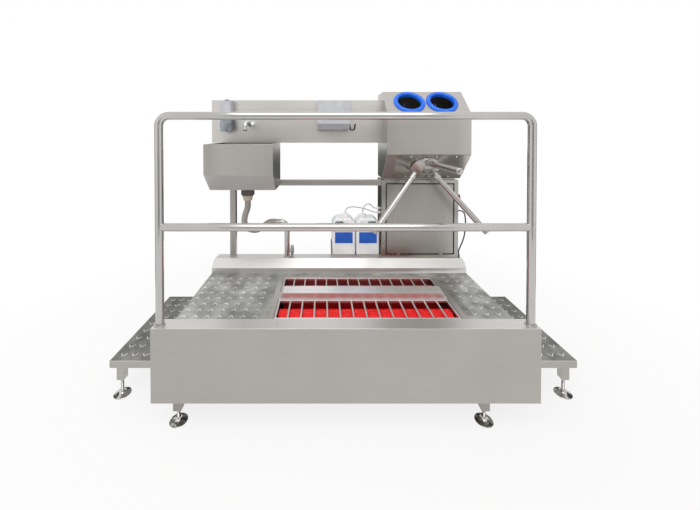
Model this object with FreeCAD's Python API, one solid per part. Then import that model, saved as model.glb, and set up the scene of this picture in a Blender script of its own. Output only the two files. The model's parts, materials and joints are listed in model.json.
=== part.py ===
import FreeCAD, Part
import math
import os

from FreeCAD import Placement, Rotation, Vector

# Boot washer: a walk-through hygiene station. Millimetres, +Z up, +X to the right as a
# person faces it, +Y towards the back. Z = 0 is the floor, X = 0 is midway between the
# steps, and Y = 0 is midway between the skirt's front face and the backs of the steps.

# Whole machine
MACHINE_DEPTH = 890.0
DECK_WIDTH = 1740.0
FRONT = -MACHINE_DEPTH / 2

# Stock and clearances
SHEET = 2.0
PLATE = 3.0
TUBE = 40.0
TUBE_WALL = 2.0
SEAM = 0.3
RUNNING = 0.05
OVERRUN = 5.0

# Front skirt and kerb
SKIRT_OVERHANG = 80.0
SKIRT_WIDTH = DECK_WIDTH + 2 * SKIRT_OVERHANG
SKIRT_DROP = 367.0
SKIRT_LIP = 20.0
KERB_TOP = 506.0
KERB_DEPTH = 85.0

# Deck, ledge and the frame that carries them
DECK_TOP = 500.0
BASE_DEPTH = 772.0
LEDGE_DEPTH = 127.0
LEDGE_RISE = 84.0
LEDGE_FACE = 34.0
LEDGE_END_BEVEL = 12.0
LEG_BOTTOM = 65.0
LEFT_LEG_INSET = 29.0
RIGHT_LEG_INSET = 167.0
LEFT_LEG_X = LEFT_LEG_INSET - DECK_WIDTH / 2
RIGHT_LEG_X = DECK_WIDTH / 2 - RIGHT_LEG_INSET

# Levelling feet
FOOT_R = 44.0
FOOT_RIM = 5.0
FOOT_NECK_R = 13.0
FOOT_BELL = 24.0
STEM_R = 8.0
LOCK_NUT_R = 13.0
LOCK_NUT_HEIGHT = 11.0
LEG_PLUG = 20.0

# Tread lugs
DECK_LUG_PITCH_X = 64.0
DECK_LUG_PITCH_Y = 64.0
DECK_LUG_HALF_WIDTH = 16.0
DECK_LUG_LENGTH = 19.0
STEP_LUG_PITCH_X = 62.0
STEP_LUG_PITCH_Y = 75.0
STEP_LUG_HALF_WIDTH = 20.0
STEP_LUG_LENGTH = 23.0
LUG_STROKE = 7.0
LUG_HEIGHT = 2.0
LUG_MARGIN = 14.0

# Brush well
WELL_CENTRE_X = 120.0
WELL_LENGTH = 974.0
LANE_WIDTH = 195.0
CHANNEL_WIDTH = 87.0
CHANNEL_RISE = 37.0
CHANNEL_SLOPE = 24.0
WELL_CENTRE_DEPTH = 335.5
WELL_STRIP = 33.0
WELL_SEAT_DROP = 13.0
WELL_SEAT = 10.0
FINGER_SLOT_WIDTH = 34.0
FINGER_SLOT_DEPTH = 14.0
FINGER_SLOT_SPACING = 795.0
REAR_STRIP_START = 604.0

# Lift-out grilles
GRILLE_GAP = 2.0
GRILLE_BAR = 10.0
GRILLE_HEIGHT = 12.0
ROD_R = 5.0
ROD_COUNT = 13

# Tank below the brushes
TANK_SHOULDER_Z = 310.0
TANK_BOTTOM_Z = 250.0
TANK_FLOOR_WIDTH = 80.0
DRAIN_X = 320.0
DRAIN_R = 25.0
DRAIN_WALL = 2.0
DRAIN_BEND = 38.0
DRAIN_FLANGE_R = 42.0
DRAIN_FLANGE = 4.0
DRAIN_SPIGOT = 60.0
DRAIN_SPIGOT_R = 27.0
DRAIN_SPIGOT_BACK = 14.0

# Spray pipe under the channel
SPRAY_R = 10.0
SPRAY_END_GAP = 40.0
NOZZLE_R = 5.0
NOZZLE_LENGTH = 12.0
NOZZLE_COUNT = 7

# Brush rollers and their drive
ROLLER_Z = 396.0
BRISTLE_R = 90.0
BRISTLE_END_GAP = 17.0
CORE_R = 30.0
CORE_END_GAP = 10.0
SHAFT_R = 15.0
SHAFT_SEAL_GAP = 1.0
BEARING_FLANGE_R = 45.0
BEARING_FLANGE = 10.0
BEARING_BOSS_R = 28.0
BEARING_LENGTH = 30.0
PULLEY_GAP = 13.0
PULLEY_WIDTH = 30.0
PULLEY_R = 60.0
PULLEY_FLANGE = 3.0
PULLEY_FLANGE_RISE = 8.0
MOTOR_PULLEY_R = 40.0
MOTOR_SHAFT_R = 12.5
MOTOR_SHAFT_LENGTH = 66.0
MOTOR_SHAFT_Z = 250.0
BELT_THICKNESS = 6.0
GEARBOX_LENGTH = 130.0
GEARBOX_WIDTH = 120.0
GEARBOX_TOP_Z = 305.0
MOTOR_PLATE = 6.0
MOTOR_R = 58.0
MOTOR_LENGTH = 190.0
TERMINAL_LENGTH = 90.0
TERMINAL_WIDTH = 70.0
TERMINAL_HEIGHT = 30.0

# Side steps
STEP_WIDTH = 405.0
STEP_SPAN = DECK_WIDTH + 2 * STEP_WIDTH
STEP_TOP = 215.0
STEP_FRONT_DEPTH = 190.0
STEP_LIP = 40.0
STEP_LEG_BOTTOM = 91.0
STEP_LEG_INSET = 24.0
STEP_LEG_SETBACK = 21.0
STEP_RAIL = 30.0

# Handrail
HANDRAIL_INSET = 28.0
HANDRAIL_SPAN = SKIRT_WIDTH - 2 * HANDRAIL_INSET
HANDRAIL_TOP = 1541.0
HANDRAIL_MID = 989.0
HANDRAIL_SETBACK = 40.0
HANDRAIL_R = 20.0
HANDRAIL_WALL = 2.0
HANDRAIL_BEND = 50.0
RAIL_RING_R = 27.0
RAIL_RING = 5.0

# Rear post, cross tube and back panel
POST_X = -746.0
POST_DEPTH = 719.0
CROSS_TUBE_TOP = 1128.0
PANEL_LEFT = -884.0
PANEL_BOTTOM = 1390.0
PANEL_TOP = 1687.0
PANEL_RETURN = 20.0

# Hand sink
SINK_LEFT = -827.0
SINK_RIGHT = -410.0
SINK_FRONT_DEPTH = 375.0
SINK_KINK_Z = 1205.0
SINK_SLOPE = 109.0
SINK_RIM = 12.0
WASTE_X = -612.0
WASTE_DEPTH = 600.0
WASTE_TAIL_R = 25.0
WASTE_BORE_R = 17.0
WASTE_FLANGE_R = 42.0
WASTE_FLANGE = 3.0
WASTE_RING_R = 46.0
WASTE_RING_HEIGHT = 52.0
WASTE_NUT_R = 35.0
WASTE_NUT_HEIGHT = 34.0
WASTE_NUT_FOOT_R = 28.0

# Waste hose, pipe and water valve
HOSE_R = 20.0
PIPE_R = 19.0
PIPE_WALL = 2.0
PIPE_X = -364.0
PIPE_DEPTH = 731.0
PIPE_ELBOW_Z = 830.0
PIPE_BEND = 48.0
PIPE_ARM = 76.0
PIPE_FLANGE_R = 27.0
PIPE_FLANGE = 5.0
VALVE_X = -328.0
VALVE_PIPE_R = 10.5
VALVE_BORE_R = 8.0
VALVE_BODY = 26.0
VALVE_BODY_Z = 612.0
VALVE_TOP_Z = 662.0
VALVE_SPIGOT = 16.0
VALVE_STEM_R = 4.0
VALVE_STEM = 10.0
LEVER_HUB_R = 8.0
LEVER_THICKNESS = 4.0
LEVER_WIDTH = 10.0
LEVER_LENGTH = 46.0

# Tap
TAP_Z = 1512.0
TAP_R = 11.0
TAP_FLANGE_R = 25.0
TAP_FLANGE = 8.0
TAP_REACH = 168.0
TAP_RISE = 22.0
TAP_DROP = 44.0
TAP_BEND = 24.0
TAP_TIP_R = 12.5
TAP_TIP = 7.0
TAP_TIP_BORE = 7.0
TAP_NECK_SHARE = 0.2
TAP_CREST_SHARE = 0.5

# Soap dispenser
SOAP_X = -767.0
SOAP_WIDTH = 80.0
SOAP_DEPTH = 70.0
SOAP_BOTTOM = 1544.0
SOAP_TOP = 1678.0
SOAP_CORNER = 14.0
SOAP_CAP_R = 15.0
SOAP_CAP = 9.0
SOAP_BLOCK_BOTTOM = 1478.0
SOAP_BLOCK_WIDTH = 46.0
SOAP_BLOCK_DEPTH = 52.0
SOAP_SPOUT_R = 7.0
SOAP_SPOUT = 16.0
SOAP_PIN_R = 4.0
SOAP_PIN_DROP = 10.0
SOAP_LEVER = 4.0
SOAP_LEVER_WIDTH = 74.0
SOAP_LEVER_LENGTH = 66.0
SOAP_LEVER_GAP = 14.0
SOAP_CHEEK = 4.0

# Towel dispenser and hook
TOWEL_LEFT = -147.0
TOWEL_RIGHT = 68.0
TOWEL_BOTTOM = 1481.0
TOWEL_TOP = 1672.0
TOWEL_DEPTH = 110.0
TOWEL_CHAMFER = 38.0
TOWEL_SHEET = 1.5
TOWEL_BACKPLATE = 4.0
TOWEL_COVER_GAP = 5.0
TOWEL_SLOT_START = 52.0
TOWEL_PIN_R = 2.0
TOWEL_LUG = 4.0
TOWEL_LUG_RISE = 14.0
TOWEL_SHELF_RISE = 26.0
HOOK_LEFT = 74.0
HOOK_WIDTH = 40.0
HOOK_TOP = 1520.0
HOOK_DROP = 40.0
HOOK_R = 4.0
HOOK_STANDOFF = 18.0
HOOK_TAPER = 7.0
HOOK_BEND = 7.0

# Jug tray, jugs and caps
TRAY_LEFT = -52.0
TRAY_FRONT_DEPTH = 735.0
TRAY_BACK_DEPTH = 888.0
TRAY_WALL_RISE = 73.0
TRAY_LIP = 8.0
JUG_WIDTH = 166.0
JUG_DEPTH = 142.0
JUG_HEIGHT = 262.0
JUG_CORNER = 16.0
JUG_LEFT_X = 38.0
JUG_RIGHT_X = 210.0
JUG_FRONT_DEPTH = 740.0
JUG_SHOULDER = 66.0
JUG_NOTCH_RISE = 7.0
JUG_NOTCH_WIDTH = 96.0
JUG_GRIP_WIDTH = 62.0
JUG_GRIP_HEIGHT = 26.0
JUG_GRIP_DROP = 44.0
CAP_LEFT_X = 54.0
CAP_RIGHT_X = 182.0
CAP_DEPTH = 812.0
CAP_R = 24.0
CAP_HEIGHT = 20.0
CAP_Z = 850.0
CAP_NIPPLE_R = 7.0
SUCTION_R = 4.0

# Cabinet
CABINET_LEFT = 301.0
CABINET_RIGHT = 840.0
CABINET_FRONT_DEPTH = 708.0
CABINET_DEPTH = 160.0
CABINET_TOP = 1129.0
DOORWAY_LEFT = 330.0
DOORWAY_RIGHT = 812.0
DOORWAY_BOTTOM = 604.0
DOORWAY_TOP = 1106.0
DOOR_GAP = 8.0
DOOR_RETURN = 8.0
DOOR_REST_WIDTH = 24.0
DOOR_REST_DEPTH = 12.0
DOOR_REST_SPACING = 300.0
NECK_INSET = 20.0
NECK_RISE = 13.0
LOCK_INSET = 52.0
LOCK_Z = 862.0
LOCK_R = 14.0
LOCK_FACE = 3.0
LOCK_SPINDLE_R = 6.0
LOCK_SLOT = 2.0
TONGUE_LENGTH = 72.0
TONGUE_WIDTH = 14.0
TONGUE = 3.0

# Control box, pumps and the fittings on the cabinet's sides
CONTROL_WIDTH = 210.0
CONTROL_HEIGHT = 260.0
CONTROL_DEPTH = 90.0
CONTROL_X = 470.0
CONTROL_Z = 820.0
CONTROL_LID = 3.0
PUMP_WIDTH = 84.0
PUMP_HEIGHT = 110.0
PUMP_DEPTH = 70.0
PUMP_HEAD_R = 30.0
PUMP_HEAD = 24.0
PUMP_X = 690.0
PUMP_Z = 870.0
PUMP_PITCH = 150.0
ELBOW_R = 7.0
ELBOW_LENGTH = 18.0
ELBOW_NUT_R = 10.0
ELBOW_NUT = 6.0
ELBOW_LEFT_Z = 882.0
ELBOW_LEFT_DEPTH = 792.0
ELBOW_RIGHT_Z = 906.0
ELBOW_RIGHT_DEPTH = 818.0
GLAND_R = 8.5
GLAND_DOME_R = 7.5
GLAND_NUT = 8.0
GLAND_LENGTH = 18.0
CABLE_R = 4.5
CABLE_GLAND_Z = 904.0
CABLE_GLAND_DEPTH = 750.0
LEDGE_GLAND_X = 850.0
LEDGE_GLAND_DEPTH = 727.0
MAINS_GLAND_Z = 650.0
MAINS_GLAND_DEPTH = 820.0
STOP_Z = 1001.0
STOP_DEPTH = 760.0
STOP_BASE_R = 18.0
STOP_BASE = 12.0
STOP_STEM_R = 8.0
STOP_STEM = 22.0
STOP_HEAD_R = 20.0
STOP_HEAD = 12.0
STOP_TRAVEL_GAP = 5.0

# Hand-washing housing
HOUSING_FRONT_DEPTH = 511.0
HOUSING_BACK_DEPTH = 863.0
HOUSING_TOP = 1741.0
HOUSING_BROW = 161.0
HOUSING_CHIN = 180.0
CUFF_SPACING = 216.0
CUFF_BORE_R = 76.0
CUFF_NECK_R = 81.7
CUFF_R = 104.0
CUFF_RISE = 14.0
CUFF_NECK = 14.0
CUFF_BEVEL = 8.0
TROUGH_WIDTH = 440.0
TROUGH_HEIGHT = 180.0
TROUGH_DEPTH = 280.0
HAND_NOZZLE_R = 8.0
HAND_NOZZLE = 16.0
HAND_NOZZLE_ROWS = 2

# Turnstile
HUB_X = 570.0
HUB_GAP = 1.5
HUB_R = 98.0
HUB_RIM = 10.0
HUB_BOSS_R = 42.0
HUB_HEIGHT = 52.0
HUB_SLOT_LENGTH = 18.0
HUB_SLOT_WIDTH = 6.0
HUB_SLOT_DEPTH = 4.0
HUB_SLOT_PLACE = 26.0
ARM_R = 18.0
ARM_WALL = 2.0
ARM_LENGTH = 484.0
ARM_ROOT_R = 74.0
ARM_ROOT_RISE = 14.0
ARM_SOCKET_R = 24.0
ARM_SOCKET = 46.0
ARM_DOME = 7.0
TURN_SHAFT_R = 20.0
TURN_HOLE_GAP = 5.0
TURN_FLANGE_R = 58.0
TURN_FLANGE = 12.0
TURN_BARREL_R = 38.0
TURN_BARREL = 60.0
MOUNT_PLATE_LEFT = 370.0
MOUNT_PLATE_INSET = 8.0
SCREW_R = 6.0
SCREW_HEAD = 3.5
SCREW_INSET = 16.0
SCREW_PLACES_SHARES = (0.54, 0.81)

# Levels and faces that several pieces share
SKIRT_BOTTOM = KERB_TOP - SKIRT_DROP
FRAME_TOP = DECK_TOP - PLATE
FRAME_UNDER = FRAME_TOP - TUBE
LEDGE_TOP = DECK_TOP + LEDGE_RISE
KERB_BACK = FRONT + KERB_DEPTH
BASE_BACK = FRONT + BASE_DEPTH
FRAME_BACK = BASE_BACK - SHEET
LEDGE_FRONT = BASE_BACK - LEDGE_DEPTH
DECK_HALF = DECK_WIDTH / 2
FRAME_HALF = DECK_HALF - SHEET
STEP_BACK = FRONT + MACHINE_DEPTH
WELL_Y = FRONT + WELL_CENTRE_DEPTH
WELL_X = (WELL_CENTRE_X - WELL_LENGTH / 2, WELL_CENTRE_X + WELL_LENGTH / 2)
WELL_HALF = CHANNEL_WIDTH / 2 + LANE_WIDTH
SEAT_Z = DECK_TOP - WELL_SEAT_DROP
TANK_LEFT = WELL_X[0] - 2 * SHEET
TANK_RIGHT = WELL_X[1] + 2 * SHEET
LANE_OFFSET = CHANNEL_WIDTH / 2 + LANE_WIDTH / 2
POST_FRONT = FRONT + POST_DEPTH
PANEL_FACE = POST_FRONT - PANEL_RETURN
CABINET_FRONT = FRONT + CABINET_FRONT_DEPTH
CABINET_BACK = CABINET_FRONT + CABINET_DEPTH
HOUSING_BOTTOM = CABINET_TOP + NECK_RISE


def span(centre, width):
    return (centre - width / 2, centre + width / 2)


def grown(pair, amount):
    return (pair[0] - amount, pair[1] + amount)


def box(x, y, z):
    return Part.makeBox(x[1] - x[0], y[1] - y[0], z[1] - z[0], Vector(x[0], y[0], z[0]))


def square_tube(along, x, y, z, wall=TUBE_WALL):
    """A hollow square tube with open ends, along "x", "y" or "z"."""
    inner = [grown(pair, OVERRUN if name == along else -wall)
             for name, pair in zip("xyz", (x, y, z))]
    return box(x, y, z).cut(box(*inner))


def prism(points, along, reach):
    """A polygon drawn across an axis, pushed along it. Points are (y, z), (x, z) or (x, y)."""
    low, high = reach
    place = {"x": lambda a, b: Vector(low, a, b),
             "y": lambda a, b: Vector(a, low, b),
             "z": lambda a, b: Vector(a, b, low)}[along]
    push = {"x": Vector(high - low, 0, 0),
            "y": Vector(0, high - low, 0),
            "z": Vector(0, 0, high - low)}[along]
    corners = [place(a, b) for a, b in points]
    return Part.Face(Part.makePolygon(corners + corners[:1])).extrude(push)


def offset_corner(before, corner, after, distance):
    """The corner of a line moved to its left by a distance, with a mitred turn."""
    normals = []
    for start, end in ((before, corner), (corner, after)):
        if start is None or end is None:
            continue
        dx, dy = end[0] - start[0], end[1] - start[1]
        size = math.hypot(dx, dy)
        normals.append((-dy / size, dx / size))
    nx = sum(n[0] for n in normals)
    ny = sum(n[1] for n in normals)
    scale = distance * len(normals) / (nx * nx + ny * ny)
    return (corner[0] + nx * scale, corner[1] + ny * scale)


def folded(points, thickness):
    """The outline of a sheet folded along a line, with its thickness on the line's left."""
    ends = [None] + list(points) + [None]
    inner = [offset_corner(*ends[i:i + 3], thickness) for i in range(len(points))]
    return list(points) + inner[::-1]


def inset(points, distance):
    """A closed outline, drawn anticlockwise, moved inwards by a distance."""
    count = len(points)
    return [offset_corner(points[i - 1], points[i], points[(i + 1) % count], distance)
            for i in range(count)]


def rod(start, direction, radius, length):
    return Part.makeCylinder(radius, length, start, direction)


def ring(start, direction, outer, inner, length):
    tool_start = start - direction * OVERRUN
    return rod(start, direction, outer, length).cut(
        rod(tool_start, direction, inner, length + 2 * OVERRUN))


def turned(profile, place=None):
    """A solid of revolution about Z from (radius, height) points, put where place says."""
    corners = [Vector(r, 0, h) for r, h in profile]
    solid = Part.Face(Part.makePolygon(corners + corners[:1])).revolve(
        Vector(0, 0, 0), Vector(0, 0, 1), 360)
    if place is not None:
        solid.Placement = place
    return solid


def hexagon(centre, radius, height):
    corners = [(centre.x + radius * math.cos(math.radians(60 * i)),
                centre.y + radius * math.sin(math.radians(60 * i))) for i in range(6)]
    return prism(corners, "z", (centre.z, centre.z + height))


def bend_path(points, bend=None, name=None):
    """Straight runs joined by tangent arcs: of one radius, or as large as the runs allow."""
    edges = []
    here = points[0]
    radii = []
    for i in range(1, len(points) - 1):
        corner = points[i]
        back = points[i - 1] - corner
        ahead = points[i + 1] - corner
        turn = math.pi - back.getAngle(ahead)
        room = 0.45 * min(back.Length, ahead.Length)
        radius = bend if bend else room / math.tan(turn / 2)
        trim = radius * math.tan(turn / 2)
        radii.append(radius)
        back.normalize()
        ahead.normalize()
        middle = (back + ahead).normalize() * (radius / math.cos(turn / 2) - radius)
        start, end = corner + back * trim, corner + ahead * trim
        edges.append(Part.LineSegment(here, start).toShape())
        edges.append(Part.Arc(start, corner + middle, end).toShape())
        here = end
    edges.append(Part.LineSegment(here, points[-1]).toShape())
    if name:
        print(name, "length", round(sum(e.Length for e in edges), 1),
              "bend radii", [round(r, 1) for r in radii])
    return Part.Wire(edges)


def swept(path, start, direction, radius):
    circle = Part.Wire([Part.makeCircle(radius, start, direction)])
    return path.makePipeShell([circle], True, False)


def bent_tube(points, radius, wall, bend=None, name=None, collars=()):
    """A tube along a bent path, solid where it has no wall, with any collars on its ends."""
    path = bend_path(points, bend, name)
    direction = points[1] - points[0]
    outer = swept(path, points[0], direction, radius)
    if collars:
        outer = outer.fuse(collars)
    if not wall:
        return outer
    return outer.cut(swept(path, points[0], direction, radius - wall))


def at_depth(x, depth, z):
    return Vector(x, FRONT + depth, z)


def chevron(x, y, half_width, length, way):
    """One V-shaped lug seen from above, its point at the front (way 1) or the back (way -1)."""
    stroke = LUG_STROKE / 2
    outline = [(0, -stroke), (half_width, length - stroke),
               (half_width - stroke, length + stroke), (0, LUG_STROKE),
               (stroke - half_width, length + stroke), (-half_width, length - stroke)]
    return [(x + across, y + way * (back - length / 2)) for across, back in outline]


def lugs(x, y, top, pitch, half_width, length, way):
    """Lugs in straight rows and columns, centred over a plate."""
    columns = int((x[1] - x[0] - 2 * LUG_MARGIN) / pitch[0])
    rows = int((y[1] - y[0] - 2 * LUG_MARGIN) / pitch[1])
    first_x = (x[0] + x[1]) / 2 - (columns - 1) * pitch[0] / 2
    first_y = (y[0] + y[1]) / 2 - (rows - 1) * pitch[1] / 2
    return [prism(chevron(first_x + column * pitch[0], first_y + row * pitch[1], half_width,
                          length, way), "z", (top - PLATE / 2, top + LUG_HEIGHT))
            for row in range(rows) for column in range(columns)]


def leg_places():
    front = span(FRONT + SHEET + TUBE + TUBE / 2, TUBE)
    back = (FRAME_BACK - TUBE, FRAME_BACK)
    return [(span(x, TUBE), y) for x in (LEFT_LEG_X, RIGHT_LEG_X) for y in (front, back)]


def step_leg_places():
    made = []
    for side in (-1, 1):
        outer = STEP_SPAN / 2 - STEP_LEG_INSET - TUBE / 2
        inner = DECK_HALF + STEP_LEG_INSET + TUBE / 2
        front = FRONT + STEP_FRONT_DEPTH + PLATE + STEP_LEG_SETBACK
        back = STEP_BACK - PLATE - STEP_LEG_SETBACK
        for x in (outer, inner):
            for y in ((front, front + TUBE), (back - TUBE, back)):
                made.append((span(side * x, TUBE), y))
    return made


def leg(x, y, bottom, top):
    """One leg tube with the threaded plug that takes its foot."""
    tube = square_tube("z", x, y, (bottom, top))
    plug = box(grown(x, -TUBE_WALL), grown(y, -TUBE_WALL), (bottom, bottom + LEG_PLUG))
    hole = rod(Vector(sum(x) / 2, sum(y) / 2, bottom - OVERRUN), Vector(0, 0, 1),
               STEM_R + RUNNING, LEG_PLUG + 2 * OVERRUN)
    return tube.fuse(plug).cut(hole)


def base_frame():
    kerb_x = span(0, SKIRT_WIDTH - 2 * SHEET)
    front_y = (FRONT + SHEET, FRONT + SHEET + TUBE)
    bottom_z = (SKIRT_BOTTOM + SHEET, SKIRT_BOTTOM + SHEET + TUBE)
    deck_z = (FRAME_UNDER, FRAME_TOP)
    rear_y = (FRAME_BACK - TUBE, FRAME_BACK)
    well_back = (WELL_Y + WELL_HALF + 2 * SHEET, WELL_Y + WELL_HALF + 2 * SHEET + TUBE)
    between_legs = (LEFT_LEG_X + TUBE / 2, RIGHT_LEG_X - TUBE / 2)
    pieces = [
        square_tube("x", kerb_x, front_y, bottom_z),
        square_tube("x", kerb_x, front_y, (KERB_TOP - SHEET - TUBE, KERB_TOP - SHEET)),
        square_tube("x", kerb_x, (KERB_BACK - SHEET - TUBE, KERB_BACK - SHEET), deck_z),
        square_tube("x", span(0, 2 * (FRAME_HALF - TUBE)), well_back, deck_z),
        square_tube("x", span(0, 2 * FRAME_HALF), rear_y, deck_z),
        square_tube("x", between_legs, span(WELL_Y, TUBE), bottom_z),
        square_tube("x", between_legs, rear_y, bottom_z),
    ]
    for low in (-FRAME_HALF, FRAME_HALF - TUBE):
        pieces.append(square_tube("y", (low, low + TUBE), (KERB_BACK, rear_y[0]), deck_z))
    for low in (TANK_LEFT - TUBE, TANK_RIGHT):
        pieces.append(square_tube("y", (low, low + TUBE), (KERB_BACK, well_back[0]), deck_z))
    for x, y in leg_places():
        pieces.append(leg(x, y, LEG_BOTTOM, FRAME_UNDER))
    leg_back = FRONT + SHEET + 2 * TUBE
    for x in (LEFT_LEG_X, RIGHT_LEG_X):
        pieces.append(square_tube("y", span(x, TUBE), (leg_back, rear_y[0]), bottom_z))
    return pieces


def levelling_foot(x, y, leg_bottom):
    centre = Vector(sum(x) / 2, sum(y) / 2, 0)
    stem_top = leg_bottom + LEG_PLUG
    foot = turned([(0, 0), (FOOT_R, 0), (FOOT_R, FOOT_RIM), (FOOT_NECK_R, FOOT_BELL),
                   (STEM_R, FOOT_BELL), (STEM_R, stem_top), (0, stem_top)],
                  Placement(centre, Rotation()))
    under_leg = Vector(centre.x, centre.y, leg_bottom - LOCK_NUT_HEIGHT)
    nut = hexagon(under_leg, LOCK_NUT_R, LOCK_NUT_HEIGHT).cut(
        rod(under_leg - Vector(0, 0, OVERRUN), Vector(0, 0, 1), STEM_R + RUNNING,
            LOCK_NUT_HEIGHT + 2 * OVERRUN))
    return [foot, nut]


def levelling_feet():
    made = []
    for x, y in leg_places():
        made += levelling_foot(x, y, LEG_BOTTOM)
    for x, y in step_leg_places():
        made += levelling_foot(x, y, STEP_LEG_BOTTOM)
    return made


def front_skirt():
    """Face, kerb and back return folded from one sheet, with a plate on each end."""
    fold = folded([(FRONT + SKIRT_LIP, SKIRT_BOTTOM), (FRONT, SKIRT_BOTTOM),
                   (FRONT, KERB_TOP), (KERB_BACK, KERB_TOP),
                   (KERB_BACK, FRAME_UNDER)], -SHEET)
    skirt = prism(fold, "x", span(0, SKIRT_WIDTH))
    for low in (-SKIRT_WIDTH / 2, SKIRT_WIDTH / 2 - SHEET):
        skirt = skirt.fuse(box((low, low + SHEET), (FRONT, KERB_BACK), (SKIRT_BOTTOM, KERB_TOP)))
    return [skirt.removeSplitter()]


def lower_panels():
    """The two side panels and the rear panel of the base."""
    height = (SKIRT_BOTTOM, FRAME_TOP)
    rear = box(span(0, DECK_WIDTH), (FRAME_BACK, BASE_BACK), height)
    hole = rod(Vector(DRAIN_X, FRAME_BACK - OVERRUN, drain_level()), Vector(0, 1, 0),
               DRAIN_R + SEAM, SHEET + 2 * OVERRUN)
    sides = [box((low, low + SHEET), (KERB_BACK, FRAME_BACK), height)
             for low in (-DECK_HALF, DECK_HALF - SHEET)]
    return sides + [rear.cut(hole)]


def ledge_block(margin, bottom):
    """The ledge's outer form, or the space inside it, bevelled in front and at both ends."""
    front, back = LEDGE_FRONT + margin, BASE_BACK - margin
    half = DECK_HALF - margin
    top = LEDGE_TOP - margin
    bevel = LEDGE_RISE - LEDGE_FACE
    slip = margin * (1 - math.tan(math.radians(22.5)))
    side = [(front, bottom), (back, bottom), (back, top), (front + bevel - slip, top),
            (front, top - bevel + slip)]
    run = LEDGE_END_BEVEL
    face = [(-half, bottom), (half, bottom), (half, top - run + slip), (half - run + slip, top),
            (-half + run - slip, top), (-half, top - run + slip)]
    return prism(side, "x", (-half, half)).common(prism(face, "y", (front, back)))


def rear_ledge():
    shell = ledge_block(0, DECK_TOP).cut(ledge_block(SHEET, DECK_TOP - OVERRUN))
    return [shell]


def tread_plates():
    """Lugged plates left and right of the well, and the plain strip behind it.

    Both are cut from one pressed sheet, and the left one is turned end for end.
    """
    deck_y = (KERB_BACK, BASE_BACK)
    well = (WELL_X[0] - WELL_STRIP, WELL_X[1] + WELL_STRIP)
    made = []
    pitch = (DECK_LUG_PITCH_X, DECK_LUG_PITCH_Y)
    for x, way in (((-DECK_HALF, well[0]), -1), ((well[1], DECK_HALF), 1)):
        plate = box(x, deck_y, (FRAME_TOP, DECK_TOP))
        made.append(plate.fuse(lugs(x, (KERB_BACK, LEDGE_FRONT), DECK_TOP, pitch,
                                    DECK_LUG_HALF_WIDTH, DECK_LUG_LENGTH, way)))
    strip_front = FRONT + REAR_STRIP_START
    strip = box(well, (strip_front, BASE_BACK), (FRAME_TOP, DECK_TOP))
    for side in (-1, 1):
        x = span(WELL_CENTRE_X + side * FINGER_SLOT_SPACING / 2, FINGER_SLOT_WIDTH)
        strip = strip.cut(box(x, (strip_front - OVERRUN, strip_front + FINGER_SLOT_DEPTH),
                              (FRAME_TOP - OVERRUN, DECK_TOP + OVERRUN)))
    return made + [strip]


def well_frame():
    """The plate round the brush well, turned down at its edge into a seat for the grilles."""
    opening_y = span(WELL_Y, 2 * WELL_HALF)
    through = (SEAT_Z - PLATE - OVERRUN, DECK_TOP + OVERRUN)
    plate = box(grown(WELL_X, WELL_STRIP), (KERB_BACK, FRONT + REAR_STRIP_START),
                (FRAME_TOP, DECK_TOP))
    seat = box(grown(WELL_X, SHEET), grown(opening_y, SHEET), (SEAT_Z - SHEET, DECK_TOP))
    frame = plate.fuse(seat).cut(box(WELL_X, opening_y, (SEAT_Z, DECK_TOP + OVERRUN)))
    return [frame.cut(box(grown(WELL_X, -WELL_SEAT), grown(opening_y, -WELL_SEAT), through))]


def brush_tank():
    """The trough that hangs under the well, with a floor that falls to its middle."""
    half = WELL_HALF + 2 * SHEET
    floor = TANK_FLOOR_WIDTH / 2
    outline = [(WELL_Y - half, FRAME_TOP), (WELL_Y - half, TANK_SHOULDER_Z),
               (WELL_Y - floor, TANK_BOTTOM_Z), (WELL_Y + floor, TANK_BOTTOM_Z),
               (WELL_Y + half, TANK_SHOULDER_Z), (WELL_Y + half, FRAME_TOP)]
    tank = prism(folded(outline, SHEET), "x", (TANK_LEFT, TANK_RIGHT))
    for low in (TANK_LEFT, TANK_RIGHT - SHEET):
        tank = tank.fuse(prism(outline, "x", (low, low + SHEET)))
    for y in roller_places():
        tank = tank.cut(rod(Vector(TANK_LEFT - OVERRUN, y, ROLLER_Z), Vector(1, 0, 0),
                            SHAFT_R + SHAFT_SEAL_GAP, TANK_RIGHT - TANK_LEFT + 2 * OVERRUN))
    drain = rod(Vector(DRAIN_X, WELL_Y, TANK_BOTTOM_Z - OVERRUN), Vector(0, 0, 1),
                DRAIN_R - DRAIN_WALL, 2 * OVERRUN)
    return [tank.removeSplitter().cut(drain)]


def drain_level():
    return TANK_BOTTOM_Z - DRAIN_FLANGE - DRAIN_BEND


def tank_drain():
    """A flanged elbow under the tank and a pipe to the hose spigot behind the base."""
    end_y = BASE_BACK + DRAIN_SPIGOT
    path = [Vector(DRAIN_X, WELL_Y, TANK_BOTTOM_Z),
            Vector(DRAIN_X, WELL_Y, drain_level()),
            Vector(DRAIN_X, end_y, drain_level())]
    flange = rod(path[0], Vector(0, 0, -1), DRAIN_FLANGE_R, DRAIN_FLANGE)
    shoulder = rod(path[2], Vector(0, -1, 0), DRAIN_SPIGOT_R, DRAIN_SPIGOT_BACK)
    return [bent_tube(path, DRAIN_R, DRAIN_WALL, DRAIN_BEND, None, [flange, shoulder])]


def channel_block(margin, bottom):
    y = grown(span(WELL_Y, CHANNEL_WIDTH), -margin)
    x = grown(WELL_X, -margin)
    top = DECK_TOP + CHANNEL_RISE - margin
    face = [(x[0], bottom), (x[1], bottom), (x[1], DECK_TOP), (x[1] - CHANNEL_SLOPE, top),
            (x[0] + CHANNEL_SLOPE, top), (x[0], DECK_TOP)]
    return prism(face, "y", y)


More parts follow.
